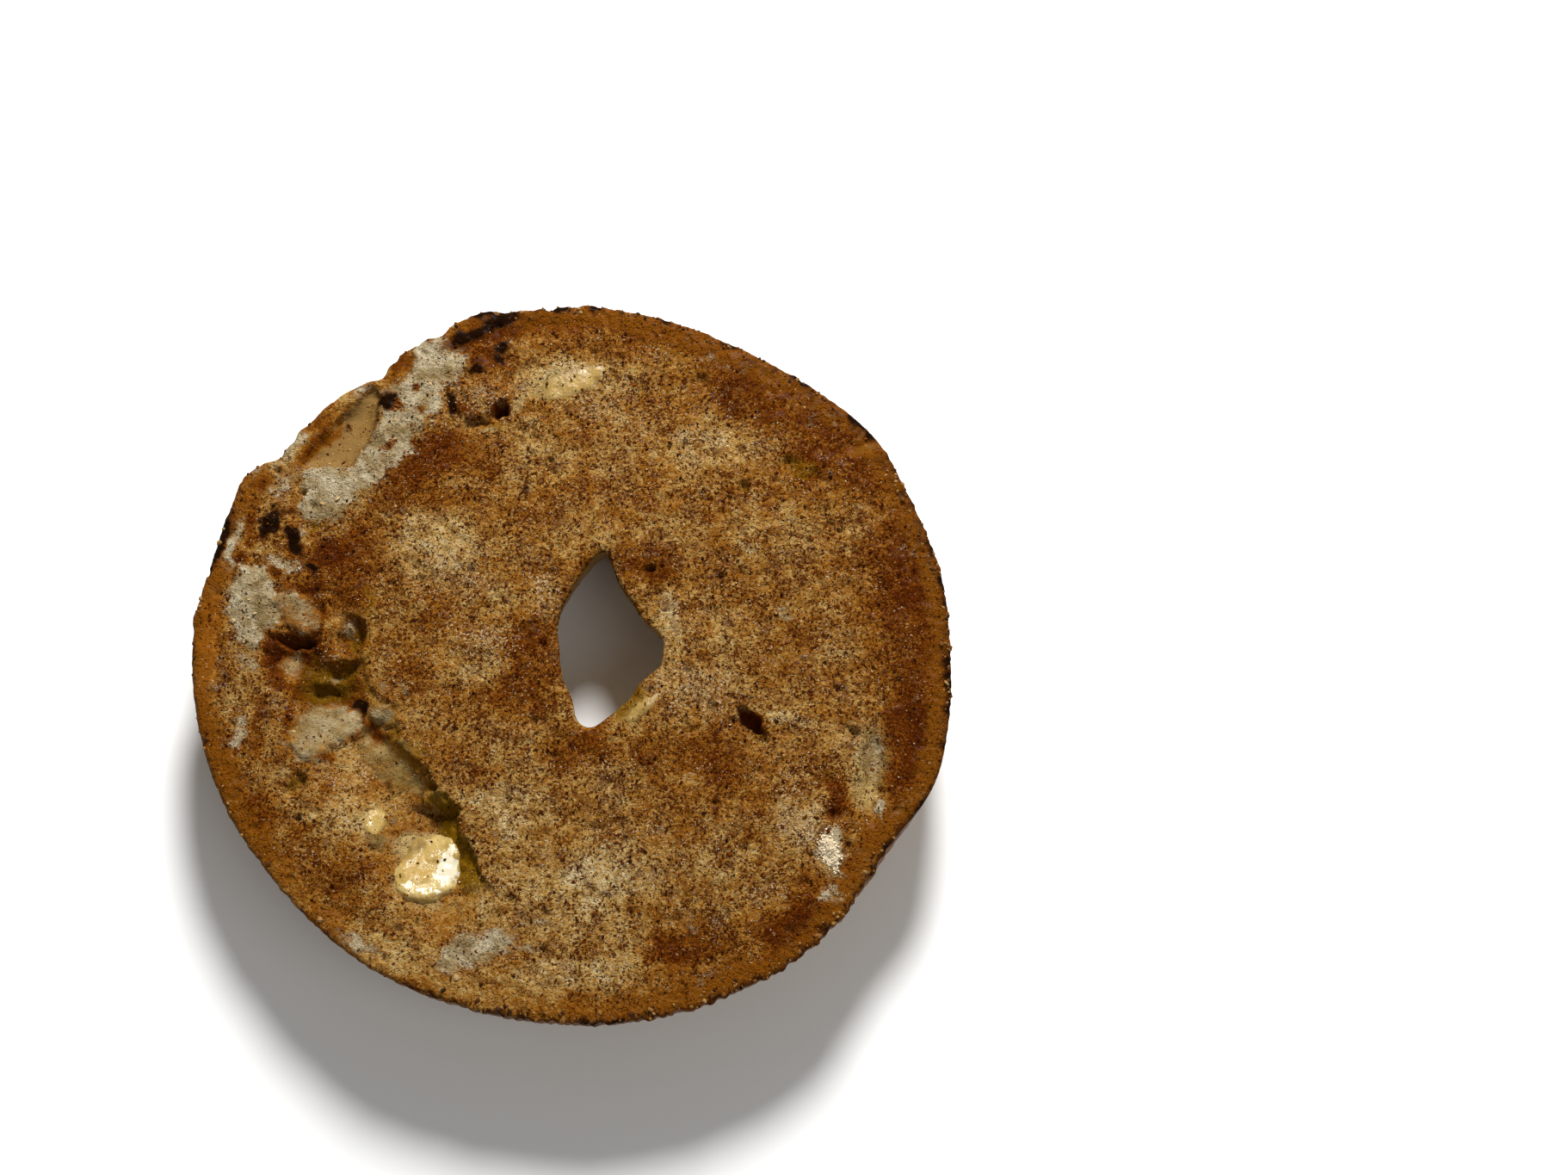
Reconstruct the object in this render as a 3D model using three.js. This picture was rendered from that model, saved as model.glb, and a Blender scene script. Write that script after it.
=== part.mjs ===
// The bottom half of a toasted bagel, lying on its flat base with the cut face up, and butter melting on it.
// Millimetres, +Z up. The origin is on the surface that the half rests on, under the middle of its outline.
// The bread is one solid, baked in one piece. Each lump of butter or sugar on it is a solid of its own.
import * as THREE from "three";

// Driving dimensions.
const CUT_HEIGHT = 20; // height of the knife cut above the base
const OUTER_TUCK = 17; // how far the crust curls in under the outer rim
const HOLE_TUCK = 8; // how far the hole widens from the cut down to the base
const CRUST_FULLNESS = 2.3; // superellipse power of the crust's section: 2 is round, more is fuller
const HOLE_FULLNESS = 1.5; // the same for the wall of the hole
const RIM_BULGE = 0.7; // how far the crust swells out below the cut rim
const HOLE_CENTRE = new THREE.Vector2(5.5, 1.4);
const MERIDIANS = 112;
const CUT_RINGS = 15;
const CRUST_RINGS = 7;
const HOLE_RINGS = 5;
const SEAT_GAP = 0.35; // clearance between the bread and what lies on it

// The outer rim, as [degrees, radius] from the origin, counter-clockwise from +X.
const RIM = [
  [0, 54.6], [12, 54.6], [24, 54.1], [36, 54.8], [44, 53.5], [54, 52.2], [66, 51.8], [78, 52.5],
  [90, 53.2], [99, 53.4], [108, 54.3], [117, 52.8], [126, 51.3], [134, 52.7], [145, 52.8], [150, 55.4],
  [157, 55.7], [165, 54.8], [178, 55.1], [190, 54.6], [205, 53.8], [220, 52.8], [240, 52.9], [262, 52.7],
  [280, 53.8], [294, 54.6], [308, 55.3], [318, 54.3], [328, 53.3], [338, 55.9], [348, 55.5],
];

// The hole at the cut, as [degrees, radius] from HOLE_CENTRE.
const HOLE = [
  [0, 7.2], [14, 5.8], [37, 5.2], [62, 6.0], [75, 7.0], [85, 8.7], [93, 12.6], [99, 12.4],
  [110, 11.0], [130, 8.9], [155, 8.0], [185, 7.2], [205, 7.6], [224, 8.8], [240, 10.2], [251, 12.8],
  [260, 13.0], [272, 10.9], [295, 8.3], [312, 7.5], [333, 8.0], [348, 7.6],
];

// The torn edge where crumb came away with the other half: x, y and the drop on its outer side.
const TEAR = [
  [-31, 9, 0], [-30.2, 4, 1.2], [-30.4, -3, 1.8], [-28, -9.5, 2.2], [-22.5, -15.5, 2.8], [-17.2, -22, 3.6],
  [-15.2, -26, 3.6], [-13.4, -30.4, 2.8], [-12.6, -35, 1.6], [-13.4, -41, 0],
];
const TEAR_WALL = 2.2; // how wide the torn edge's slope is
const TEAR_REACH = 15; // how far out the torn floor takes to rise back to the cut

// Dents and rises of the cut face: centre, length and width from the middle, turn in degrees, depth.
const DENTS = [
  { at: [-34.8, 32.6], half: [9, 3.6], turn: 53, depth: 2.8 }, // bubble left open beside the rim
  { at: [-42, 3], half: [6, 4], turn: 80, depth: 1.6 },
  { at: [43.5, -19], half: [9, 3.6], turn: 82, depth: 1.8 },
  { at: [26, -11.5], half: [4, 2.4], turn: 128, depth: 2.2 },
  { at: [-10, 36], half: [6, 3], turn: 20, depth: 1.2 },
  { at: [36, 27], half: [5, 3.5], turn: 150, depth: 1 },
  { at: [-41, 24], half: [8, 5], turn: 60, depth: -1.1 },
  { at: [-24, 33], half: [12, 4], turn: 45, depth: -0.9 },
  { at: [18, 20], half: [26, 16], turn: 20, depth: -0.8 },
];

const radians = THREE.MathUtils.degToRad;

// Reads a closed [degrees, radius] outline at any angle, along a smooth curve through its points.
function radiusAt(outline, degrees) {
  const turn = THREE.MathUtils.euclideanModulo(degrees, 360);
  const count = outline.length;
  let i = outline.findLastIndex(([angle]) => angle <= turn);
  i = i < 0 ? count - 1 : i;
  const point = (k) => {
    const wrapped = THREE.MathUtils.euclideanModulo(k, count);
    const laps = Math.floor(k / count);
    return [outline[wrapped][0] + 360 * laps, outline[wrapped][1]];
  };
  const [before, low, high, after] = [point(i - 1), point(i), point(i + 1), point(i + 2)];
  const span = high[0] - low[0];
  const t = (turn - low[0]) / span;
  const slopeLow = ((high[1] - before[1]) / (high[0] - before[0])) * span;
  const slopeHigh = ((after[1] - low[1]) / (after[0] - low[0])) * span;
  const t2 = t * t;
  const t3 = t2 * t;
  return (
    (2 * t3 - 3 * t2 + 1) * low[1] +
    (t3 - 2 * t2 + t) * slopeLow +
    (3 * t2 - 2 * t3) * high[1] +
    (t3 - t2) * slopeHigh
  );
}

// The same outline evened out: the mean of its radius over a stretch to both sides.
function evenRadiusAt(outline, degrees) {
  const steps = [-36, -24, -12, 0, 12, 24, 36];
  return steps.reduce((sum, step) => sum + radiusAt(outline, degrees + step), 0) / steps.length;
}

// The nearest stretch of the torn edge: signed distance (positive outwards) and the drop there.
function nearestTear(x, y) {
  let best = { distance: Infinity, side: 0, drop: 0 };
  for (let i = 0; i + 1 < TEAR.length; i++) {
    const [ax, ay, aDrop] = TEAR[i];
    const [bx, by, bDrop] = TEAR[i + 1];
    const [dx, dy] = [bx - ax, by - ay];
    const along = THREE.MathUtils.clamp(((x - ax) * dx + (y - ay) * dy) / (dx * dx + dy * dy), 0, 1);
    const distance = Math.hypot(x - ax - along * dx, y - ay - along * dy);
    if (distance < best.distance) {
      const side = dx * (y - ay) - dy * (x - ax) < 0 ? 1 : -1;
      best = { distance, side, drop: THREE.MathUtils.lerp(aDrop, bDrop, along) };
    }
  }
  return best;
}

// How far the torn floor lies below the cut: steep at the torn edge, then a slow rise towards the rim.
function tornDepth(x, y) {
  const { distance, side, drop } = nearestTear(x, y);
  const outwards = distance * side;
  const wall = THREE.MathUtils.smoothstep(outwards, -TEAR_WALL / 2, TEAR_WALL / 2);
  const rise = 1 - THREE.MathUtils.smoothstep(outwards, TEAR_REACH / 3, TEAR_REACH);
  return drop * wall * rise;
}

function dentDepth(x, y, { at, half, turn, depth }) {
  const [c, s] = [Math.cos(radians(turn)), Math.sin(radians(turn))];
  const [dx, dy] = [x - at[0], y - at[1]];
  const reach = ((dx * c + dy * s) / half[0]) ** 2 + ((dy * c - dx * s) / half[1]) ** 2;
  return reach < 1 ? depth * (1 - reach) ** 2 * (1 + reach) : 0;
}

// Height of the cut face above the base.
function cutHeight(x, y) {
  const lean = 0.012 * x + 0.004 * y;
  const waves = 0.35 * Math.sin(x / 9 + 1) * Math.cos(y / 11);
  const dents = DENTS.reduce((sum, dent) => sum + dentDepth(x, y, dent), 0);
  return CUT_HEIGHT + lean + waves - dents - tornDepth(x, y);
}

// How far a superellipse has curled in and fallen, both from 0 to 1.
// Its sweep goes from 0, where it is upright, to a quarter turn, where it is flat.
function curl(sweep, fullness) {
  const power = 2 / fullness;
  const tuck = 1 - Math.max(Math.cos(sweep), 0) ** power;
  return { tuck, fall: Math.min(Math.sin(sweep) ** power, 1) };
}

// One meridian section of the bread, as a closed loop of points.
// It runs outwards over the cut face, down the crust, inwards under the base and up the hole.
function meridian(degrees) {
  const outward = new THREE.Vector2(Math.cos(radians(degrees)), Math.sin(radians(degrees)));
  const outerRadius = radiusAt(RIM, degrees);
  const inner = HOLE_CENTRE.clone().addScaledVector(outward, radiusAt(HOLE, degrees));
  const outer = outward.clone().multiplyScalar(outerRadius);
  const across = outer.clone().sub(inner);
  const width = across.length();
  across.normalize();
  const place = (from, distance) => from.clone().addScaledVector(across, distance);
  const loop = [];
  for (let i = 0; i <= CUT_RINGS; i++) {
    const at = place(inner, (width * i) / CUT_RINGS);
    loop.push([at.x, at.y, cutHeight(at.x, at.y)]);
  }
  // The outer outline evens out towards the base.
  const outerHeight = cutHeight(outer.x, outer.y);
  const evening = evenRadiusAt(RIM, degrees) - outerRadius;
  for (let i = 1; i <= CRUST_RINGS; i++) {
    const sweep = (Math.PI / 2) * (i / CRUST_RINGS);
    const { tuck, fall } = curl(sweep, CRUST_FULLNESS);
    const at = place(outer, RIM_BULGE * Math.sin(2 * sweep) ** 2 - OUTER_TUCK * tuck + evening * fall);
    loop.push([at.x, at.y, outerHeight * (1 - fall)]);
  }
  const innerHeight = cutHeight(inner.x, inner.y);
  for (let i = HOLE_RINGS; i >= 1; i--) {
    const { tuck, fall } = curl((Math.PI / 2) * (i / HOLE_RINGS), HOLE_FULLNESS);
    const at = place(inner, HOLE_TUCK * tuck);
    loop.push([at.x, at.y, innerHeight * (1 - fall)]);
  }
  return loop;
}

// Joins closed loops, one after another round the ring, into one closed skin.
function ringGeometry(loops) {
  const size = loops[0].length;
  const index = [];
  loops.forEach((_, i) => {
    const next = (i + 1) % loops.length;
    for (let j = 0; j < size; j++) {
      const after = (j + 1) % size;
      const [a, b, c, d] = [i * size + j, next * size + j, next * size + after, i * size + after];
      index.push(a, d, c, a, c, b);
    }
  });
  const geometry = new THREE.BufferGeometry();
  geometry.setAttribute("position", new THREE.Float32BufferAttribute(loops.flat(2), 3));
  geometry.setIndex(index);
  geometry.computeVertexNormals();
  return geometry;
}

function makeBread() {
  const loops = Array.from({ length: MERIDIANS }, (_, i) => meridian((360 * i) / MERIDIANS));
  const toast = new THREE.MeshStandardMaterial({ color: 0xa97b45, roughness: 0.75, metalness: 0 });
  const mesh = new THREE.Mesh(ringGeometry(loops), toast);
  mesh.name = "bagel_half";
  mesh.updateMatrixWorld(true);
  return mesh;
}

// The highest bread within a short reach of a place, so that what lies there clears every facet.
function seatHeight(bread, x, y) {
  const reach = 0.7;
  const down = new THREE.Vector3(0, 0, -1);
  const around = [[0, 0], [reach, 0], [-reach, 0], [0, reach], [0, -reach]];
  const heights = around.map(([dx, dy]) => {
    const from = new THREE.Vector3(x + dx, y + dy, 2 * CUT_HEIGHT);
    const [hit] = new THREE.Raycaster(from, down).intersectObject(bread);
    return hit ? hit.point.z : 0;
  });
  return Math.max(...heights) + SEAT_GAP;
}

// A lump lying on the bread: an uneven oval whose underside follows the bread and whose top is domed.
function makeLump(bread, { name, at, half, turn, thickness, lobes }) {
  const [rings, spokes] = [4, 20];
  const rimThickness = 0.3 * thickness;
  const [c, s] = [Math.cos(radians(turn)), Math.sin(radians(turn))];
  const place = (ring, spoke) => {
    const sweep = (2 * Math.PI * spoke) / spokes;
    const reach = (ring / rings) * (1 + 0.12 * Math.sin(lobes * sweep + 1));
    const [u, v] = [half[0] * reach * Math.cos(sweep), half[1] * reach * Math.sin(sweep)];
    return [at[0] + u * c - v * s, at[1] + u * s + v * c];
  };
  const layer = (lift) => {
    const points = [[...at, seatHeight(bread, ...at) + lift(0)]];
    for (let ring = 1; ring <= rings; ring++) {
      for (let spoke = 0; spoke < spokes; spoke++) {
        const [x, y] = place(ring, spoke);
        points.push([x, y, seatHeight(bread, x, y) + lift(ring / rings)]);
      }
    }
    return points;
  };
  const dome = (share) => rimThickness + (thickness - rimThickness) * Math.sqrt(1 - share ** 2);
  const points = [...layer(dome), ...layer(() => 0)];
  const layerSize = points.length / 2;
  const corner = (level, ring, spoke) => level * layerSize + 1 + (ring - 1) * spokes + (spoke % spokes);
  const index = [];
  const face = (level, a, b, d) => index.push(...(level ? [a, d, b] : [a, b, d]));
  for (let spoke = 0; spoke < spokes; spoke++) {
    for (const level of [0, 1]) {
      face(level, level * layerSize, corner(level, 1, spoke), corner(level, 1, spoke + 1));
      for (let ring = 1; ring < rings; ring++) {
        const [a, b] = [corner(level, ring, spoke), corner(level, ring + 1, spoke)];
        const [d, e] = [corner(level, ring + 1, spoke + 1), corner(level, ring, spoke + 1)];
        face(level, a, b, d);
        face(level, a, d, e);
      }
    }
    const [a, b] = [corner(0, rings, spoke), corner(0, rings, spoke + 1)];
    const [d, e] = [corner(1, rings, spoke + 1), corner(1, rings, spoke)];
    index.push(a, e, d, a, d, b);
  }
  const geometry = new THREE.BufferGeometry();
  geometry.setAttribute("position", new THREE.Float32BufferAttribute(points.flat(), 3));
  geometry.setIndex(index);
  geometry.computeVertexNormals();
  const mesh = new THREE.Mesh(geometry, name.startsWith("sugar") ? sugar : butter);
  mesh.name = name;
  return mesh;
}

const butter = new THREE.MeshStandardMaterial({ color: 0xe6d28c, roughness: 0.3, metalness: 0 });
const sugar = new THREE.MeshStandardMaterial({ color: 0xe9dfc6, roughness: 0.5, metalness: 0 });

// What lies on the cut face.
const LUMPS = [
  { name: "butter_pat", at: [-19.3, -32], half: [4.6, 3.5], turn: 60, thickness: 2.2, lobes: 3 },
  { name: "butter_dab", at: [-27.4, -25], half: [2.8, 1.8], turn: 75, thickness: 0.9, lobes: 2 },
  { name: "butter_smear_far", at: [-1.5, 41], half: [7, 2.4], turn: 22, thickness: 0.7, lobes: 3 },
  { name: "butter_smear_hole", at: [10.4, -9], half: [3.4, 1.5], turn: 40, thickness: 0.7, lobes: 2 },
  { name: "sugar_clump", at: [37.2, -29.6], half: [3, 2], turn: 105, thickness: 0.9, lobes: 3 },
];

const bagel = new THREE.Group();
const bread = makeBread();
bagel.add(bread);
for (const lump of LUMPS) bagel.add(makeLump(bread, lump));

export default bagel;
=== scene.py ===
"""A toasted bagel half, cut side up, with melting butter and cinnamon sugar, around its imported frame.

Lengths in this script are in millimetres until a mesh is made, in the frame's axes: +X to the right,
+Y away from the viewer, +Z up. Positions on the cut face are plain x, y pairs from the frame's origin.
"""

import math

import bpy
import numpy as np
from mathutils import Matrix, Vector
from mathutils.bvhtree import BVHTree


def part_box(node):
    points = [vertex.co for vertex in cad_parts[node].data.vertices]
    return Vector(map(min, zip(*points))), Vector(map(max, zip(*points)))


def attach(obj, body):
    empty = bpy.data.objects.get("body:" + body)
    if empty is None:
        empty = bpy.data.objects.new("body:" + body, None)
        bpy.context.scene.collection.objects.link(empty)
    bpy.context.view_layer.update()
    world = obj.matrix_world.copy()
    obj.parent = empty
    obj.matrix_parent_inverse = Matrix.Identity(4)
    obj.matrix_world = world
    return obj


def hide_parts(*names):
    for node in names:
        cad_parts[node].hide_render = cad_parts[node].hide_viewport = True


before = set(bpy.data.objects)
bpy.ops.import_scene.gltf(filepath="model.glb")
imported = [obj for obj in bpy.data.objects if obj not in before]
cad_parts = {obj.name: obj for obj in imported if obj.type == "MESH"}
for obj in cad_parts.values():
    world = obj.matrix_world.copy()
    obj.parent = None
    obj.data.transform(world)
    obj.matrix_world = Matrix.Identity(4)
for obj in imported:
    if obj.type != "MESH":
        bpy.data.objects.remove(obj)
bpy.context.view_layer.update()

MM = 0.001
BREAD = "bagel_half"
CUT_HEIGHT = 20.0
CUT_SPACING = 0.36  # between neighbouring points of the cut face
CUT_RINGS = 124
CRUST_RINGS = 31
BASE_RINGS = 9
HOLE_RINGS = 16
HOLE_SPOKES = 150  # points of each ring of the hole's wall
OUTER_TUCK = 17.0
HOLE_TUCK = 8.0
CRUST_FULLNESS = 2.3
HOLE_FULLNESS = 1.5
RIM_BULGE = 0.7
HOLE_CENTRE = np.array([5.5, 1.4])
EDGE_ROLL = 1.1  # width of the rounded edge of the cut
OUTLINE_DEPTH = 4.5  # how far below the cut the CAD's outlines are read
RIM_GROWTH = 0.4  # how far the crumbly rim stands out past the CAD's
HOLE_SHRINK = 0.35  # how far the crumbly hole's edge stands in from the CAD's

# The stretches of the bread's section, in the order in which they are joined up.
ON_CUT, ON_CRUST, ON_BASE, ON_HOLE = range(4)


# ---------------------------------------------------------------- noise


SHUFFLED = np.random.default_rng(5).permutation(4096).astype(np.int32)
TURNS = np.arange(16) * math.pi / 8
SLOPES = {
    2: 1.4 * np.column_stack([np.cos(TURNS), np.sin(TURNS)]),
    3: 1.4 * np.array([np.roll((a, b, 0), k) for k in range(3) for a in (1, -1) for b in (1, -1)]),
}


def scramble(cells, seed):
    """A repeatable whole number below 4096 for each row of integer cell numbers."""
    h = np.full(len(cells), seed % 4096, np.int32)
    for column in cells.T:
        h = SHUFFLED[(h + column) & 4095]
    return h


def noise(points, size, seed):
    """Smooth gradient noise from about -1 to 1, with features of about that size, in 2 or 3 dimensions."""
    p = points / size
    cell = np.floor(p).astype(np.int32)
    f = p - cell
    ease = f**3 * (f * (f * 6 - 15) + 10)
    ways = f.shape[1]
    total = np.zeros(len(p))
    for corner in np.ndindex((2,) * ways):
        slope = SLOPES[ways][scramble(cell + np.array(corner, np.int32), seed) % len(SLOPES[ways])]
        weight = 1.0
        dot = 0.0
        for k in range(ways):
            weight = weight * (ease[:, k] if corner[k] else 1 - ease[:, k])
            dot = dot + (f[:, k] - corner[k]) * slope[:, k]
        total += weight * dot
    return total


def layered(points, size, seed, layers=3, keep=0.5):
    """Noise with finer and finer layers, each holding `keep` of the last one's strength."""
    total = sum(keep**i * noise(points, size / 2**i, seed + i) for i in range(layers))
    return total / sum(keep**i for i in range(layers))


def cell_distance(points, size, seed):
    """Distance to the nearest of many scattered points, about one for each square of that size."""
    p = points[:, :2] / size
    cell = np.floor(p).astype(np.int32)
    best = np.full(len(p), 9.0)
    for dx in (-1, 0, 1):
        for dy in (-1, 0, 1):
            near = cell + np.array((dx, dy), np.int32)
            away_x = near[:, 0] + scramble(near, seed) / 4096 - p[:, 0]
            away_y = near[:, 1] + scramble(near, seed + 77) / 4096 - p[:, 1]
            best = np.minimum(best, np.hypot(away_x, away_y))
    return best * size


def smoothstep(low, high, value):
    t = np.clip((value - low) / (high - low), 0, 1)
    return t * t * (3 - 2 * t)


def flat(x, y):
    return np.column_stack([x, y])


def degrees_from(turn, middle):
    """Degrees between each direction and the middle one, from 0 to 180."""
    return np.abs((turn - middle + 180) % 360 - 180)


# ---------------------------------------------------------------- outlines, read from the frame


def cad_outline(centre, from_outside):
    """The CAD bread's radius from a centre, just under the cut, at each whole degree."""
    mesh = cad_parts[BREAD].data
    corners = [v.co for v in mesh.vertices]
    tree = BVHTree.FromPolygons(corners, [p.vertices for p in mesh.polygons])
    radii = []
    for degree in range(360):
        angle = math.radians(degree)
        out = Vector((math.cos(angle), math.sin(angle), 0))
        start = Vector((centre[0] * MM, centre[1] * MM, (CUT_HEIGHT - OUTLINE_DEPTH) * MM))
        if from_outside:
            hit = tree.ray_cast(start + out * 0.1, -out)[0]
        else:
            hit = tree.ray_cast(start, out)[0]
        radii.append((hit - start).length / MM)
    radii = np.array(radii)
    return sum(np.roll(radii, k) for k in (-1, 0, 1)) / 3


RIM_RADII = cad_outline((0, 0), True) + RIM_GROWTH
HOLE_RADII = cad_outline(HOLE_CENTRE, False) - HOLE_SHRINK


def read_outline(radii, angle):
    return np.interp(np.degrees(angle) % 360, np.arange(361), np.append(radii, radii[0]))


def even_outline(radii, angle):
    steps = np.radians([-36, -24, -12, 0, 12, 24, 36])
    return sum(read_outline(radii, angle + step) for step in steps) / len(steps)


# How ragged the toasted rim is, as (degrees, degrees to each side, height of its crumbs).
RAGGED = [(95, 30, 0.35), (60, 22, 0.2), (10, 30, 0.35), (288, 48, 0.75), (225, 30, 0.25), (175, 40, 0.15)]

# Bumps (and notches, where the height is negative) of the rim: degrees, degrees to each side, height.
RIM_BUMPS = [
    (106, 4, 0.6), (113.5, 2.5, -0.6), (120.5, 2.5, 0.4), (125.5, 2.5, -0.9), (141, 2, 0.5),
    (146.6, 2.2, -0.8), (152, 5, 0.55), (175, 3, 0.5), (95, 1.5, -0.5), (89, 3, 0.2),
]


def rim_radius(angle):
    """Radius of the cut's outer edge, with the crumbs that stand out of it."""
    on_circle = 54 * np.column_stack([np.cos(angle), np.sin(angle)])
    turn = np.degrees(angle)
    ragged = np.full(len(angle), 0.08)
    for middle, reach, height in RAGGED:
        away = degrees_from(turn, middle)
        ragged = np.maximum(ragged, height * smoothstep(reach, reach * 0.6, away))
    crumbs = np.abs(layered(on_circle, 2.6, 11)) * 1.8 - 0.3
    nicks = noise(on_circle, 0.9, 17)
    bumps = 0.0
    for middle, reach, height in RIM_BUMPS:
        away = degrees_from(turn, middle)
        bumps = bumps + height * smoothstep(reach, 0, away)
    return read_outline(RIM_RADII, angle) + ragged * (crumbs + 0.4 * nicks) + bumps


def hole_radius(angle):
    on_circle = 9 * np.column_stack([np.cos(angle), np.sin(angle)])
    return read_outline(HOLE_RADII, angle) + 0.16 * layered(on_circle, 1.8, 23)


def from_rim(x, y):
    """How far in from the cut's outer edge."""
    return rim_radius(np.arctan2(y, x)) - np.hypot(x, y)


def from_hole(x, y):
    dx, dy = x - HOLE_CENTRE[0], y - HOLE_CENTRE[1]
    return np.hypot(dx, dy) - hole_radius(np.arctan2(dy, dx))


# ---------------------------------------------------------------- the shape of the cut face

# The torn edge where crumb came away: x, y and the drop on its outer side.
TEAR = [
    (-30.3, 9, 0), (-30.6, 5, 1.2), (-30.3, 0, 1.3), (-29.5, -4.3, 1.5), (-27.6, -7.2, 1.6),
    (-24.9, -8.4, 1.8), (-24.4, -10.6, 2.0), (-24.5, -13.6, 2.3), (-22.2, -15.7, 2.6), (-20.3, -17.3, 2.9),
    (-19.6, -18.9, 3.2), (-18.5, -20.5, 3.5), (-16.1, -22.4, 4.0), (-15.2, -23.7, 4.2), (-15.5, -25, 4.2),
    (-15.0, -27.1, 4.1), (-13.8, -28.4, 3.9), (-12.3, -31.3, 3.2), (-11.5, -33.3, 2.0), (-9.7, -35.3, 0.8),
    (-7, -36.3, 0.5), (-5, -37, 0),
]

# Outlines of parts of the cut face.
BUBBLE = [
    (-41.2, 28.0), (-39.8, 30.8), (-37.5, 33.4), (-35.6, 35.6), (-33.9, 37.4), (-31.9, 39.4), (-30.3, 40.8),
    (-29.6, 38.6), (-29.7, 35.2), (-30.8, 32.2), (-31.6, 30.4), (-32.6, 28.9), (-34.4, 27.6), (-37.6, 27.6),
]
PALE_STRIP = [
    (-40.4, 27.4), (-40.8, 20.2), (-36.7, 19.6), (-33.3, 20.5), (-30.7, 24.2), (-27.1, 27.2), (-25.4, 29.4),
    (-24.9, 31.2), (-21.8, 35.1), (-20.1, 36.5), (-20.1, 40.2), (-17.8, 41.2), (-16.4, 43.3), (-17.0, 45.2),
    (-20.0, 47.0), (-21.5, 48.6), (-25.2, 46.9), (-25.0, 43.2), (-28.7, 40.3), (-29.2, 38.7), (-29.9, 35.2),
    (-31.2, 31.4), (-32.6, 28.9), (-34.4, 27.4), (-37.6, 27.5),
]
PALE_LEFT = [
    (-48.6, 12.4), (-45.6, 12.2), (-44.0, 9.3), (-43.0, 6.9), (-42.8, 4.6), (-43.7, 1.1), (-44.9, -0.1),
    (-47.0, -0.2), (-48.8, 2.0), (-49.7, 4.8), (-50.0, 8.0), (-49.2, 9.9),
]
PALE_LOW = [
    (-41.0, -14.2), (-38.6, -16.1), (-35.9, -17.0), (-34.6, -14.8), (-32.2, -13.7), (-30.0, -11.9),
    (-30.7, -9.2), (-33.4, -7.8), (-36.5, -8.3), (-38.6, -9.5), (-39.2, -11.7),
]
SHELF = [
    (-30.0, -11.8), (-26.8, -10.8), (-24.8, -11.6), (-23.6, -14.2), (-20.8, -16.6), (-19.0, -18.9),
    (-19.6, -20.8), (-23.7, -21.2), (-26.9, -19.9), (-28.7, -16.8), (-30.2, -13.6),
]
OVERHANG = [
    (-42.4, 9.8), (-43.7, 6.7), (-42.0, 4.2), (-40.6, 2.7), (-38.3, 2.0), (-36.6, 2.7), (-36.9, 4.8),
    (-38.1, 6.9), (-39.7, 8.7),
]
TAUPE = [(-43.4, -2.5), (-43.0, -0.2), (-40.0, 0.0), (-39.3, -1.8), (-39.7, -4.3), (-42.0, -4.2)]
LEDGE = [(-29.8, -9.1), (-27.1, -8.0), (-24.6, -8.4), (-24.2, -10.4), (-25.4, -11.5), (-28.1, -10.8)]
OLIVE_LIP = [
    (-21.6, -21.0), (-19.6, -20.6), (-17.8, -21.0), (-15.9, -22.5), (-17.6, -23.1), (-19.4, -22.9),
    (-21.2, -22.1),
]
LUMP = [(-28.2, -26.8), (-26.9, -26.9), (-25.7, -27.6), (-25.9, -28.9), (-27.2, -29.1), (-28.1, -28.0)]
ISLAND = [
    (-18.6, 39.6), (-17.0, 41.6), (-13.6, 41.6), (-11.0, 40.2), (-10.2, 38.4), (-11.4, 37.6), (-12.9, 36.4),
    (-14.0, 35.2), (-17.0, 34.8), (-18.2, 36.4),
]

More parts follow.
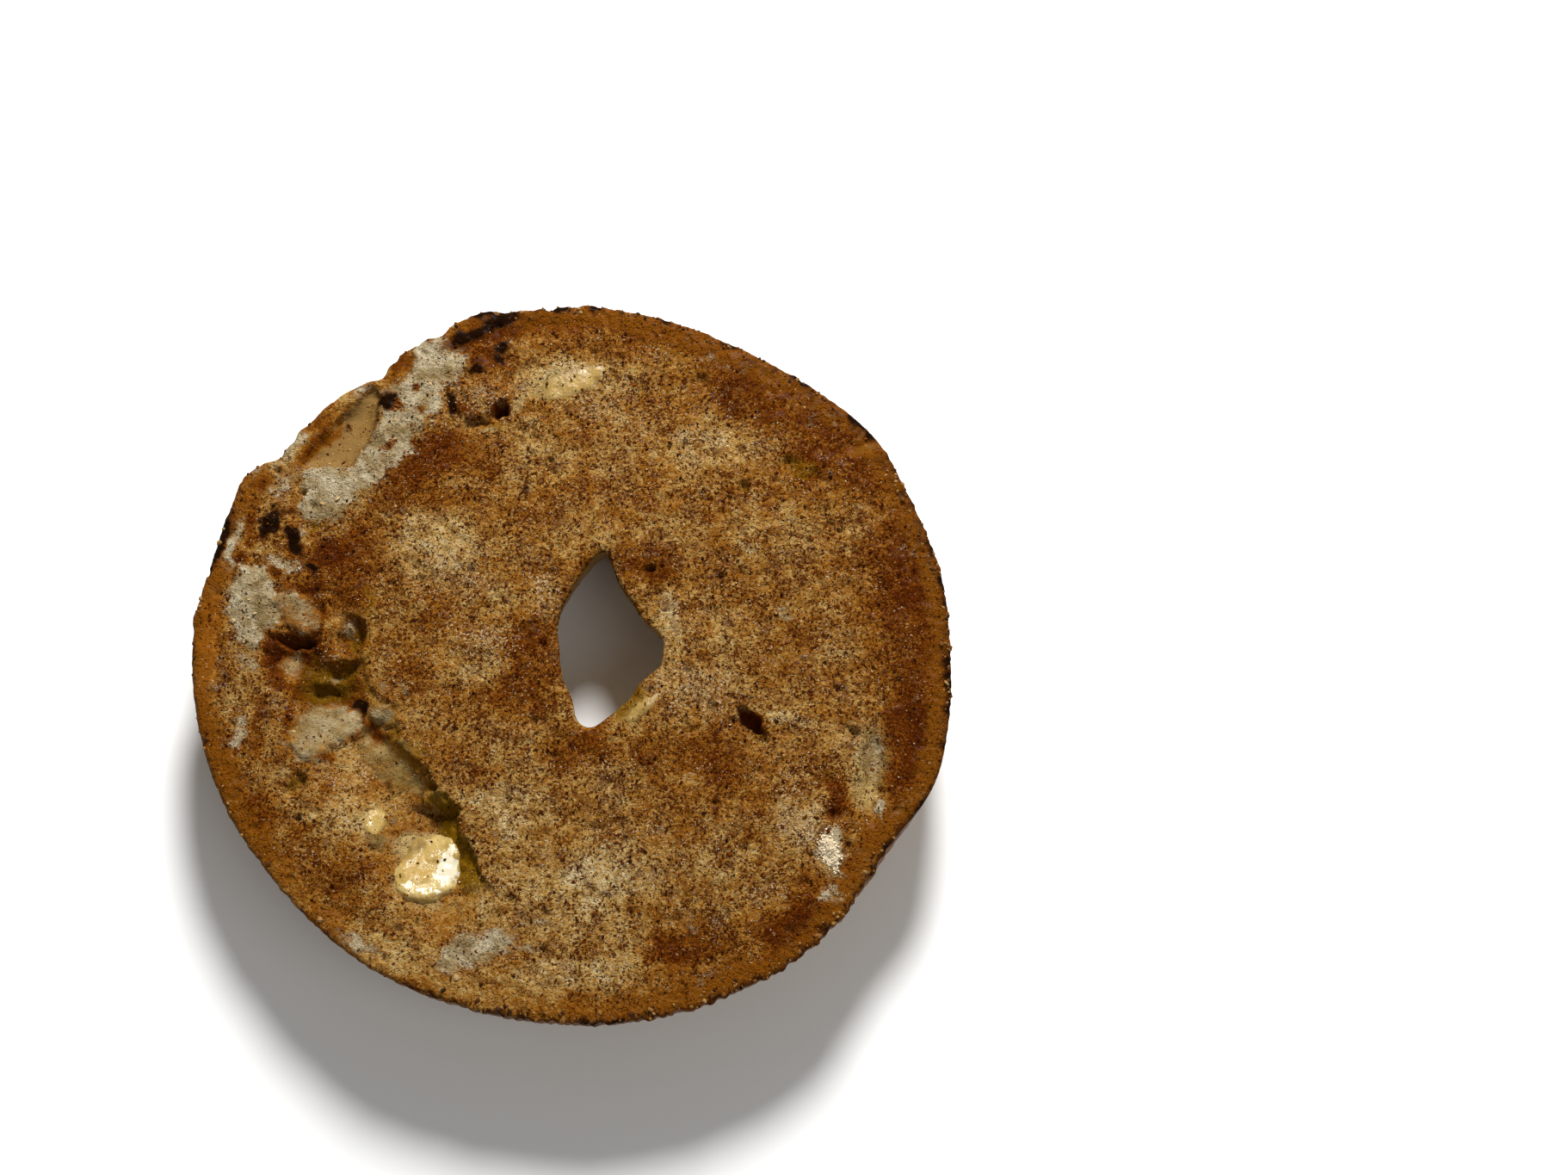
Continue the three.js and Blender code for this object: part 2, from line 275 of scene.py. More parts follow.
# Hollows, or rises where the depth is negative: x, y, half length, half width, turn in degrees,
# depth, and the share of the width that is wall (1 is a smooth bowl).
HOLLOWS = [
    (-40.2, 1.1, 3.6, 1.1, -8, 2.2, 0.5), (-41.4, -1.4, 3.4, 3.0, 0, 2.0, 0.8),
    (-32.2, 2.2, 2.7, 3.6, 0, 2.2, 0.6), (-34.1, 3.1, 1.4, 1.6, 0, -0.8, 1.0),
    (-33.0, -2.8, 3.8, 1.8, 20, 1.6, 0.7), (-35.4, -6.4, 6.2, 2.4, -6, 1.8, 0.8),
    (-30.4, -9.1, 1.0, 0.9, 0, 0.9, 0.8), (-28.0, -13.0, 3.2, 1.6, -35, 0.9, 0.9),
    (-38.6, -20.0, 2.8, 1.6, 70, 1.8, 0.8), (-20.0, -23.6, 4.9, 0.9, -10, 1.0, 0.6),
    (-20.8, -26.8, 3.6, 2.0, 0, -0.8, 1.0), (-11.5, 36.4, 1.6, 1.3, 50, 2.6, 0.5),
    (-14.8, 34.4, 3.2, 0.8, 12, 1.0, 0.8), (-9.0, 42.5, 4.8, 1.8, 40, 0.9, 0.9),
    (18.3, 41.3, 2.2, 1.6, 0, 1.2, 0.9), (24.9, 24.4, 1.5, 1.1, 70, 1.2, 0.8),
    (11.2, 11.8, 1.2, 1.0, 0, 1.5, 0.7), (31.8, 27.6, 2.8, 2.0, 20, 1.0, 0.8),
    (35.2, 26.0, 1.9, 1.5, 0, 1.0, 0.8), (36.2, 9.4, 1.9, 0.8, -62, 0.8, 0.9),
    (25.8, -10.8, 2.9, 1.3, -49, 3.0, 0.5), (27.6, -13.2, 2.0, 1.1, -49, 1.6, 0.8),
    (17.3, -12.2, 2.2, 1.2, 0, 0.8, 0.9), (38.4, -6.2, 2.0, 0.7, -30, 0.8, 0.9),
    (44.7, -8.0, 2.1, 1.0, -58, 1.0, 0.9), (40.7, -12.6, 1.8, 1.2, -40, 1.2, 0.8),
    (39.0, -15.0, 2.2, 0.8, 62, -0.6, 1.0), (43.5, -17.6, 8.6, 2.7, 80, 2.2, 0.9),
    (37.6, -19.4, 1.5, 1.2, 0, 0.9, 0.9), (38.2, -24.4, 2.3, 1.3, 5, 1.0, 0.9),
    (37.5, -30.0, 2.8, 1.8, 100, -0.5, 1.0), (-15.3, -38.2, 2.2, 0.7, 100, 0.7, 0.9),
    (-27.0, -28.0, 1.4, 1.2, 30, -1.0, 0.8), (-36.0, 3.0, 7.4, 1.7, 86, -1.3, 1.0),
    (-41.2, 17.0, 2.4, 1.6, 130, -0.7, 1.0), (-44.9, 19.2, 1.2, 2.2, 0, -0.5, 1.0),
    (-42.5, 30.5, 5.0, 1.6, 50, -0.4, 1.0), (-34.5, 38.4, 5.0, 1.4, 38, -0.3, 1.0),
    (-24.9, 42.4, 2.0, 0.6, 25, 0.7, 0.9), (-38.5, 18.4, 1.5, 0.9, 0, 0.7, 0.9),
    (-17.5, 38.4, 1.0, 2.4, 20, 0.6, 0.9), (-16.0, 48.5, 4.5, 1.4, 22, -0.4, 1.0),
    (-5.0, 50.0, 9.0, 1.6, 2, 0.5, 1.0), (-36.6, -4.4, 6.4, 4.4, -10, 1.2, 0.6),
    (-36.4, -4.6, 1.3, 1.0, 0, -0.9, 1.0), (-32.6, 3.6, 1.7, 1.7, 0, -0.9, 1.0),
    (-40.8, -2.4, 1.8, 1.4, -20, -0.8, 1.0), (-32.6, -6.4, 2.2, 0.8, -25, -0.7, 1.0),
    (18.0, 20.0, 26.0, 16.0, 20, -0.6, 1.0), (-33.0, -36.0, 9.0, 4.0, 130, 0.5, 1.0),
    (8.6, -8.2, 4.6, 1.9, 50, 1.3, 1.0), (-8.0, -8.0, 5.0, 7.0, 20, 0.5, 1.0),
    (-14.0, 1.0, 9.0, 2.4, -14, -0.6, 1.0), (5.0, -35.6, 4.6, 0.6, -24, 0.5, 0.9),
    (-22.0, 13.0, 6.0, 1.4, -30, -0.5, 1.0), (-18.0, 17.6, 5.0, 0.9, -40, 0.5, 1.0),
    (-6.0, 4.0, 4.0, 1.2, 20, -0.5, 1.0), (20.0, -4.0, 5.0, 1.6, -35, -0.4, 1.0),
    (6.0, -26.0, 6.0, 1.4, 10, 0.5, 1.0),
]
# Parts that stand up from their surroundings: outline, height, and the width of their rounded side.
RISES = [
    (OVERHANG, 1.0, 1.0), (PALE_LEFT, 0.4, 2.0), (PALE_LOW, 0.7, 1.6), (SHELF, 0.4, 1.4), (LEDGE, 1.1, 0.8),
    (OLIVE_LIP, 1.5, 0.9), (ISLAND, 0.8, 0.9), (PALE_STRIP, 0.3, 1.2), (BUBBLE, -1.7, 2.6),
]

# Crumb that is torn rather than cut: x, y, half length, half width, turn, strength.
CRAGGY = [
    (-40, 6, 12, 8, 85, 0.8), (-42, -10, 6, 7, 40, 0.6), (-16, 44, 7, 5, 20, 0.9),
    (-44, 20, 7, 5, 50, 0.8), (-30, 30, 13, 4, 52, 0.7), (40, -16, 6, 5, 70, 0.5), (38, -27, 4, 4, 0, 0.6),
    (-34, -22, 7, 5, 30, 0.5), (-10, -44, 7, 4, 5, 0.4),
]


def place_in(x, y, row):
    """How far out a point lies in a turned oval: 0 in its middle, 1 on its edge."""
    cx, cy, length, width, turn = row[:5]
    c, s = math.cos(math.radians(turn)), math.sin(math.radians(turn))
    dx, dy = x - cx, y - cy
    return np.hypot((dx * c + dy * s) / length, (dy * c - dx * s) / width)


def warped(x, y, amount, size, seed):
    """The same points moved about by noise, so that what is drawn there gets an uneven outline."""
    p = flat(x, y)
    return x + amount * layered(p, size, seed), y + amount * layered(p, size, seed + 50)


def dabs(x, y, rows, softness=0.8, grown=1.0):
    """The strongest of many soft ovals at each point."""
    x, y = warped(x, y, 1.6, 3.2, 101)
    strength = np.zeros(len(x))
    for row in rows:
        reach = place_in(x, y, row) / grown
        strength = np.maximum(strength, row[5] * (1 - smoothstep(1 - softness, 1 + softness / 2, reach)))
    return strength


def depth_inside(x, y, outline):
    """How far inside a closed outline each point lies; negative outside it."""
    best = np.full(len(x), 1e9)
    inside = np.zeros(len(x), bool)
    for (ax, ay), (bx, by) in zip(outline, outline[1:] + outline[:1]):
        dx, dy = bx - ax, by - ay
        along = np.clip(((x - ax) * dx + (y - ay) * dy) / (dx * dx + dy * dy), 0, 1)
        best = np.minimum(best, np.hypot(x - ax - along * dx, y - ay - along * dy))
        if dy:
            inside ^= ((ay > y) != (by > y)) & (x < ax + (y - ay) * dx / dy)
    return np.where(inside, best, -best)


def nearest_tear(x, y):
    """Distance outwards from the torn edge (negative inwards) and the drop there."""
    best = np.full(len(x), 1e9)
    drop = np.zeros(len(x))
    side = np.ones(len(x))
    for (ax, ay, a_drop), (bx, by, b_drop) in zip(TEAR, TEAR[1:]):
        dx, dy = bx - ax, by - ay
        along = np.clip(((x - ax) * dx + (y - ay) * dy) / (dx * dx + dy * dy), 0, 1)
        distance = np.hypot(x - ax - along * dx, y - ay - along * dy)
        nearer = distance < best
        best = np.where(nearer, distance, best)
        drop = np.where(nearer, a_drop + (b_drop - a_drop) * along, drop)
        side = np.where(nearer, np.where(dx * (y - ay) - dy * (x - ax) < 0, 1, -1), side)
    return best * side, drop


def wall_width(x, y):
    """How wide the slope below the torn edge is."""
    return 1.4 + 1.9 * smoothstep(-21, -27, y) + 0.4 * noise(flat(x, y), 3, 135)


def torn_depth(x, y):
    outwards, drop = nearest_tear(*warped(x, y, 0.8, 1.2, 131))
    wall = 0.5 * smoothstep(-0.15, 0.6, outwards) + 0.5 * smoothstep(0.2, wall_width(x, y) + 1.2, outwards)
    rise = 1 - smoothstep(5, 15, outwards)
    return drop * wall * rise


def cut_height(x, y):
    """Height of the cut face, crumb and all."""
    p = flat(x, y)
    height = CUT_HEIGHT + 0.012 * x + 0.004 * y + 0.35 * np.sin(x / 9 + 1) * np.cos(y / 11)
    height = height - torn_depth(x, y)
    wx, wy = warped(x, y, 0.9, 2.0, 141)
    for row in HOLLOWS:
        reach = place_in(wx, wy, row)
        bowl = row[5] * (1 - smoothstep(1 - row[6], 1, reach))
        height = height - bowl * (1 - 0.25 * np.minimum(reach, 1) ** 2)
    for outline, rise, side in RISES:
        within = np.clip(depth_inside(wx, wy, outline) / side, 0, 1)
        height = height + rise * np.sqrt(1 - (1 - within) ** 2)
    outwards, drop = nearest_tear(x, y)
    torn = np.clip(drop / 2, 0, 1) * smoothstep(0, 2, outwards) * (1 - smoothstep(8, 15, outwards))
    smooth = smooth_skin(x, y)
    craggy = np.clip(dabs(x, y, CRAGGY) + 0.4 * torn, 0, 1) * (1 - smooth)
    lumps = 0.5 - 2 * np.abs(layered(p, 3.6, 151, 4, 0.6))
    height = height + 0.5 * craggy * lumps + 0.4 * layered(p, 7, 161)
    creases = np.abs(noise(p + noise(p, 3, 168)[:, None], 4.2, 165))
    creased = 0.3 * (1 - smooth) * smoothstep(0.12, 0, creases)
    height = height - creased * smoothstep(-0.1, 0.4, noise(p, 9, 167))
    height = height + (1 - 0.85 * smooth) * (
        (0.3 + 0.1 * craggy) * layered(p, 2.4, 171, 3, 0.6) + 0.12 * layered(p, 0.9, 175, 2)
    )
    foam = smoothstep(-0.4, 0.8, depth_inside(wx, wy, PALE_STRIP))
    foam = foam + smoothstep(-0.4, 0.8, depth_inside(wx, wy, PALE_LEFT))
    height = height + foam * (0.05 - 0.18 * np.abs(layered(p, 1.9, 215, 3, 0.6)))
    height = height - pores(p, craggy)
    roll = np.clip(1 - from_rim(x, y) / EDGE_ROLL, 0, 1)
    hole_roll = np.clip(1 - from_hole(x, y) / (1.4 * EDGE_ROLL), 0, 1)
    return height - 0.8 * (1 - np.sqrt(1 - 0.96 * roll**2)) - 1.0 * (1 - np.sqrt(1 - 0.96 * hole_roll**2))


def pores(p, craggy):
    """The bread's own small bubbles, cut open."""
    few = smoothstep(-0.1, 0.5, noise(p, 7, 181))
    small = smoothstep(0.45, 0.12, cell_distance(p, 1.5, 191)) * (0.35 + 0.4 * few)
    large = smoothstep(0.8, 0.25, cell_distance(p, 4.6, 201)) * few
    return (1 - smooth_skin(p[:, 0], p[:, 1])) * (0.3 * small + 0.7 * large * (1 + 0.5 * craggy))


# Smooth skin with little crumb or dusting on it: ovals, then whole parts with their smoothness.
SKIN = [
    (-14.9, -29.0, 1.5, 4.8, 24, 0.9), (42.8, 30.2, 2.8, 1.4, 12, 0.9), (-52.5, 0.5, 10, 1.8, 90, 0.7),
    (-38.9, -12.6, 1.3, 0.7, 10, 0.8),
]
SMOOTH_PARTS = [
    (BUBBLE, 1.0), (OVERHANG, 0.55), (TAUPE, 0.8), (LEDGE, 0.6), (OLIVE_LIP, 0.9), (SHELF, 0.7),
    (PALE_LOW, 0.6),
]


def smooth_skin(x, y):
    wx, wy = warped(x, y, 0.7, 1.6, 109)
    smooth = dabs(x, y, SKIN, 0.5)
    for outline, strength in SMOOTH_PARTS:
        smooth = np.maximum(smooth, strength * smoothstep(-0.3, 0.5, depth_inside(wx, wy, outline)))
    return smooth


# ---------------------------------------------------------------- what the cut face is made of

# Pale crumb: whole parts with their strength and how dull and shaded they are, and then ovals. The darker,
# duller crumb is partly its own tone and partly painted shade, on the shelf below the torn edge and the taupe
# patch below the cavity. Every list of ovals from here on has x, y, half length, half width, turn in degrees,
# and strength.
PALE_PARTS = [
    (PALE_STRIP, 1.0, 0.0), (PALE_LEFT, 0.95, 0.0), (PALE_LOW, 0.8, 0.6), (SHELF, 0.7, 1.0),
    (OVERHANG, 0.62, 0.5), (TAUPE, 0.6, 0.8), (LEDGE, 0.8, 0.5), (LUMP, 0.9, 1.0),
]
PALE = [
    (-32.6, 3.6, 1.5, 1.6, 0, 0.7), (-34.6, -4.0, 1.2, 0.8, 20, 0.5), (-12.5, -43.4, 6.6, 2.6, 12, 0.7),
    (-9.4, -42.4, 3.0, 1.8, -10, 0.9), (-15.6, -44.6, 3.0, 1.7, 25, 0.9), (-5.4, -43.2, 2.2, 1.2, 0, 0.65),
    (-43.6, 25.4, 3.8, 2.4, 35, 0.5), (37.6, -27.6, 2.2, 1.7, 10, 0.7), (37.6, -33.4, 2.2, 1.0, 0, 0.5),
    (-2.5, -40.0, 3.4, 0.7, -5, 0.5),
    (-28.0, -42.6, 3.6, 1.6, -30, 0.6), (-46.8, 26.6, 2.6, 1.4, 50, 0.5), (-50.3, 16.0, 5.0, 1.2, 84, 0.7),
    (-42.6, 31.2, 3.4, 1.5, 48, 0.6), (-33.0, 39.6, 3.0, 0.8, 38, 0.4), (-40.2, 17.2, 1.2, 1.4, 0, 0.7),
    (-43.0, 13.2, 3.0, 1.6, -40, 0.6), (-47.3, -12.4, 3.4, 0.8, 75, 0.6), (-46.6, -2.0, 1.5, 2.4, 0, 0.4),
    (-27.6, -14.6, 1.4, 0.9, -30, 0.6), (44.0, -23.4, 1.8, 0.9, 75, 0.6), (43.8, -15.5, 3.6, 1.8, 80, 0.5),
    (37.4, -30.0, 2.4, 1.9, 100, 1.0), (37.2, -36.0, 2.4, 1.6, 30, 0.45), (31.2, 5.2, 1.2, 1.0, 0, 0.55),
    (19.0, 44.6, 2.4, 1.0, 10, 0.4), (-28.0, 20.5, 0.8, 0.6, 30, 0.7), (-24.4, -6.2, 0.6, 1.2, 0, 0.5),
    (-14.6, 39.6, 3.4, 1.2, 10, 0.3), (-8.6, 40.6, 1.0, 2.6, -30, 0.4), (14.8, 5.0, 1.4, 4.4, 14, 0.35),
]
CHARRED = [
    (-16.0, 48.8, 3.8, 0.9, 24, 1.0), (-12.6, 50.6, 2.4, 0.9, 20, 1.0), (-11.8, 46.4, 1.1, 0.9, 30, 0.9),
    (-12.2, 44.7, 0.7, 0.7, 0, 0.75), (-15.5, 43.3, 0.8, 0.7, 0, 0.85), (-18.7, 37.0, 0.7, 1.5, 15, 1.0),
    (-19.3, 39.1, 0.6, 0.6, 0, 0.7), (-28.5, 37.8, 0.9, 1.0, 0, 1.0), (-44.8, 19.0, 0.8, 1.8, -12, 1.0),
    (-43.2, 21.0, 1.6, 0.5, -10, 0.6), (-41.3, 16.4, 0.8, 2.0, 32, 1.0), (-38.3, 11.9, 0.8, 0.7, 0, 0.85),
    (-52.2, 17.0, 4.5, 0.9, 76, 1.0), (-4.8, 52.8, 2.2, 0.7, 0, 0.95), (-14.6, 52.0, 1.4, 0.6, 10, 0.95),
    (-11.6, 52.6, 1.8, 0.5, 0, 0.95), (2.0, 52.8, 1.3, 1.0, 0, 0.95), (12.5, 51.0, 1.8, 0.6, -12, 0.9),
    (22.8, 46.8, 1.6, 0.5, -30, 0.8), (33.2, 41.0, 1.6, 0.6, -38, 0.85), (42.6, 34.0, 2.6, 0.9, -44, 1.0),
    (54.4, 9.2, 1.4, 0.9, 70, 0.9), (55.2, -6.0, 4.6, 1.1, 88, 1.0), (-30.5, -8.8, 0.7, 1.1, 20, 0.9),
    (6.0, -19.5, 0.7, 0.5, 0, 0.6), (-34.7, 28.6, 0.6, 0.3, 0, 0.8), (-34.0, 34.3, 0.35, 0.4, 0, 0.7),
    (-7.4, 24.2, 0.6, 0.5, 0, 0.7), (-38.4, 0.8, 0.7, 0.7, 0, 0.7), (-25.8, -19.5, 0.5, 0.5, 0, 0.6),
]
# Baked brown in small spots.
BROWNED = [
    (-25.0, 40.1, 0.9, 0.8, 0, 0.9), (-14.0, 49.0, 6.0, 1.8, 22, 0.9), (-23.8, 36.6, 1.1, 0.9, 0, 0.8),
    (-28.2, 30.4, 1.6, 0.8, 45, 0.8), (-27.0, 37.2, 0.8, 1.1, 20, 0.9), (-26.2, 43.8, 2.0, 1.0, 40, 0.6),
    (-43.9, 11.6, 0.9, 0.7, 0, 0.9), (-49.0, 13.4, 1.0, 0.6, 0, 0.9), (-47.7, 15.8, 0.8, 0.6, 0, 0.8),
    (-47.6, 18.5, 0.9, 3.0, 0, 0.7), (-46.6, 25.0, 1.6, 1.0, 60, 0.7), (-36.0, 14.4, 2.2, 1.6, 70, 0.7),
    (-38.6, 35.6, 3.2, 1.2, 42, 0.8), (-38.0, 32.4, 4.6, 0.8, 48, 0.8), (-33.6, 15.5, 3.0, 1.4, 50, 0.5),
    (-43.4, -1.0, 1.0, 3.4, 15, 0.8), (-41.4, -5.4, 2.4, 0.8, -20, 0.7), (-44.6, -12.0, 0.9, 4.0, 0, 0.6),
    (-40.4, -9.8, 0.7, 2.8, 0, 0.7), (-34.5, -15.6, 1.4, 0.7, 30, 0.7), (-28.2, -12.0, 2.4, 1.2, -35, 0.7),
    (-18.8, 46.8, 2.6, 1.4, 20, 0.6), (-14.0, 44.6, 2.6, 1.6, 0, 0.6), (-16.4, 36.2, 1.6, 0.7, 0, 0.6),
    (-40.0, 8.9, 2.6, 0.8, 0, 0.7),
]
# Toasted darker (positive) or paler (negative) than its surroundings; the darker rows in the recess on the
# left, around x −41 to −28 and y −13 to 2, are painted shade.
TOASTED_AND_SHADED = [
    (-22, 29, 8, 4, 20, 0.28), (-6, -3, 5, 9, 0, 0.25), (0, 16, 7, 4, 0, -0.1), (11, 13, 5, 3, -20, 0.2),
    (48, 8, 6, 16, 10, 0.13), (40, 30, 12, 6, -45, 0.18), (33, 27.5, 4.5, 3, -20, 0.3),
    (26, 37, 9, 4, -32, 0.2), (18, -16, 8, 4, -10, 0.14), (24, -23, 5, 7, 20, 0.08),
    (3, -15, 7, 3, 0, 0.18), (-34, -34, 5, 11, 50, 0.08), (17, -43, 7, 3, 15, 0.26),
    (32, -40, 6, 3, 40, 0.25), (-47, -23, 4, 8, 20, 0.02), (-27, -38, 6, 3, -40, -0.04),
    (-38, 5, 4, 8, 0, 0.18), (-33, 12, 6, 6, 0, 0.18), (48, -12, 4, 9, 0, 0.3), (38.2, -22, 2, 4, 10, 0.35),
    (-20, 16, 7, 6, 0, -0.17), (-12, 6, 8, 5, 10, -0.1), (-15, -3, 6, 3, -10, -0.12),
    (0, -36, 14, 7, -4, -0.2), (-7, -24, 7, 6, 0, -0.22), (18, 31, 10, 5, 0, -0.14),
    (32, -27, 5, 6, 0, -0.14), (17, -5, 7, 4, -30, -0.1), (14, 4, 2.5, 6, 10, -0.24),
    (30, 18, 8, 4, 0, -0.1), (30, -10, 3, 2, 0, -0.18), (-6, 30, 6, 4, 0, -0.08),
    (12, 45, 8, 3, -10, -0.02), (-33, -25, 7, 4, 10, -0.08), (-44, -24, 2.4, 3.4, 20, 0.22),
    (-37.6, -26.6, 2.2, 1.4, 0, 0.2), (-5, 42, 7, 2.6, 25, -0.25), (43, -18, 2.4, 8, 0, -0.15),
    (-36, -4, 6, 5, 0, 0.3), (-35, -6, 5, 3.5, 0, 0.3), (-31.6, 2, 2.2, 4, 0, 0.35),
    (-41, -1, 4, 3, 0, 0.3), (-35.7, 3, 1.1, 7, -4, -0.25), (-28, -13, 4, 2.5, -40, 0.25),
    (-40, 13, 4, 4, 0, 0.12), (-14.5, 38, 3, 2.5, 0, -0.1), (-24, 23, 8, 3, 0, 0.14),
    (2, -47, 14, 3.5, 4, -0.2), (-24, -44, 9, 3, -30, -0.14), (-52, -2, 2.5, 14, 0, 0.1),
    (-44, 30, 5, 2.4, 50, -0.32), (-37, 37, 5, 1.8, 44, -0.26), (-36, 2, 2, 8, 0, 0.2),
    (-15, 4, 6, 5, 0, 0.08), (46, 22, 5, 9, -20, -0.1), (10, -30, 8, 5, 0, -0.1), (48, 6, 5, 18, 5, 0.12),
]
# Soaked with butter, smooth and olive; the rows in the recess on the left, around x −41 to −29 and y −9 to 6,
# are painted shade, olive there because the recess lies in shade.
SOAKED_AND_SHADED = [
    (8.4, -8.4, 4.6, 1.6, 50, 0.9), (33.0, 27.2, 3.4, 2.2, -20, 0.8), (43.0, -17.4, 9.6, 3.2, 80, 0.6),
    (27.8, -13.4, 1.8, 1.0, -49, 0.8), (-38.8, -20.0, 2.5, 1.3, 70, 0.8), (42.8, 30.2, 2.8, 1.5, 12, 0.5),
    (-14.9, -29.0, 1.7, 5.0, 24, 1.0), (-25.0, -9.4, 0.9, 1.1, 20, 0.7), (-31.2, 35.6, 1.4, 4.2, -22, 0.45),
    (-3.0, 41.0, 7.0, 2.6, 24, 0.6), (-12.5, 33.6, 3.0, 1.4, 10, 0.6), (14.0, 45.0, 4.0, 2.0, -10, 0.5),
    (-16.0, -38.0, 2.5, 3.0, 0, 0.45), (-21.0, -32.0, 6.0, 5.0, 0, 0.5), (24.9, 24.4, 1.4, 1.0, 70, 0.7),
    (-19.0, 15.5, 3.0, 2.0, -10, 0.35), (-8.5, 6.0, 2.0, 1.4, 0, 0.3), (-35.6, -5.0, 6.4, 4.4, -6, 0.8),
    (-25.0, -18.6, 4.0, 2.4, -30, 0.6), (11.5, 12.0, 1.4, 1.2, 0, 0.6), (-29.6, 6.0, 0.9, 4.0, 6, 0.7),
    (-29.6, -2.0, 1.2, 3.4, -5, 0.7), (-38.5, 18.4, 1.6, 1.0, 0, 0.8), (-24.9, 42.5, 1.8, 0.6, 25, 0.7),
    (-31.6, 1.8, 2.4, 3.4, 0, 0.8), (-36.5, -8.0, 5.0, 1.6, -8, 0.5), (-39.0, -4.0, 2.0, 4.0, 0, 0.5),
    (-38.8, -12.6, 1.3, 0.8, 10, 0.9), (-37.4, -1.2, 0.8, 1.6, 0, 0.8), (-32.4, -3.0, 3.0, 1.6, 20, 0.8),
    (-22.6, -14.6, 1.2, 4.6, 40, 0.8), (-40.6, -3.4, 3.0, 1.6, 0, 0.3), (-45.0, -12.6, 1.2, 2.6, 0, 0.5),
]
# Painted shade: deep places that light hardly reaches, and the shadow under the lip, painted browner than the
# rest.
PIT_SHADE_SPOTS = [
    (25.8, -10.6, 2.6, 0.9, -49, 1.0), (-20.0, -23.6, 4.8, 0.7, -10, 0.4), (-11.5, 36.4, 1.4, 1.1, 50, 1.0),
    (-40.4, 1.2, 3.0, 0.9, -8, 0.95), (-31.0, 4.4, 1.2, 1.0, -30, 0.5), (-31.4, -2.0, 1.4, 1.0, 0, 0.5),
    (11.2, 11.8, 0.9, 0.8, 0, 0.7), (40.7, -12.6, 1.3, 0.8, -40, 0.35), (37.7, -19.5, 1.0, 0.8, 0, 0.35),
    (38.4, -24.4, 1.8, 0.9, 5, 0.3), (18.3, 41.3, 1.6, 1.1, 0, 0.4), (44.7, -8.0, 1.6, 0.7, -58, 0.5),
]
# Butter that has melted into a thin cream on the crumb.
CREAMY = [
    (-13.4, 33.0, 1.8, 0.9, 10, 0.9), (-9.4, 37.2, 1.4, 3.6, -38, 0.8), (-4.0, 41.2, 5.6, 1.8, 28, 0.9),
    (-28.2, -25.6, 3.0, 2.4, 60, 0.9), (-29.6, -28.4, 1.6, 2.0, 30, 0.4), (8.8, -9.0, 4.0, 1.1, 48, 0.8),
    (-18.5, 15.2, 3.6, 0.8, -35, 0.5), (-13.8, -24.6, 0.7, 4.0, 20, 0.3), (-21.6, -28.2, 4.4, 2.6, 20, 1.0),
    (-19.0, -21.4, 2.6, 0.9, -8, 0.8), (-23.4, -33.4, 2.0, 3.0, 20, 0.7), (-19.5, -37.0, 4.0, 1.6, 0, 0.7),
    (31.0, 5.0, 1.4, 0.9, 0, 0.6), (42.8, -17.2, 8.0, 2.8, 82, 1.0), (37.6, -28.0, 2.6, 1.8, 0, 0.9),
    (37.2, -31.0, 3.0, 3.4, 0, 0.75), (33.0, -10.4, 2.4, 1.2, 0, 0.6), (2.5, 43.4, 1.4, 1.8, -20, 0.5),
    (-12.0, 9.4, 1.2, 0.7, 0, 0.5),
]
SUGARY = [
    (-13, 1, 8, 3, -12, 0.7), (17, 32, 3, 2, 0, 0.8), (18, -6, 8, 4, -20, 0.8), (33, -24, 5, 6, 10, 0.8),
    (33, -11, 2.5, 1.5, 0, 0.9), (37.4, -30, 2.6, 2.2, 0, 1.0), (-18, 12, 7, 5, 0, 0.5),
    (-4, 8, 3, 4, 0, 0.6), (28, -36, 4, 1.2, 5, 0.8), (-36, -2, 2, 6, 0, 0.6), (-30, -18, 5, 3, 30, 0.6),
    (10, -30, 10, 6, 0, 0.4), (-48, -30, 3, 8, 40, 0.4), (4, 36, 6, 2, -20, 0.5), (19, 45, 3, 1.4, 0, 0.7),
    (-14, 38, 5, 3, 0, 0.6),
]


def signed_dabs(x, y, rows):
    x, y = warped(x, y, 2.4, 5, 107)
    return sum(row[5] * (1 - smoothstep(0.35, 1.25, place_in(x, y, row))) for row in rows)


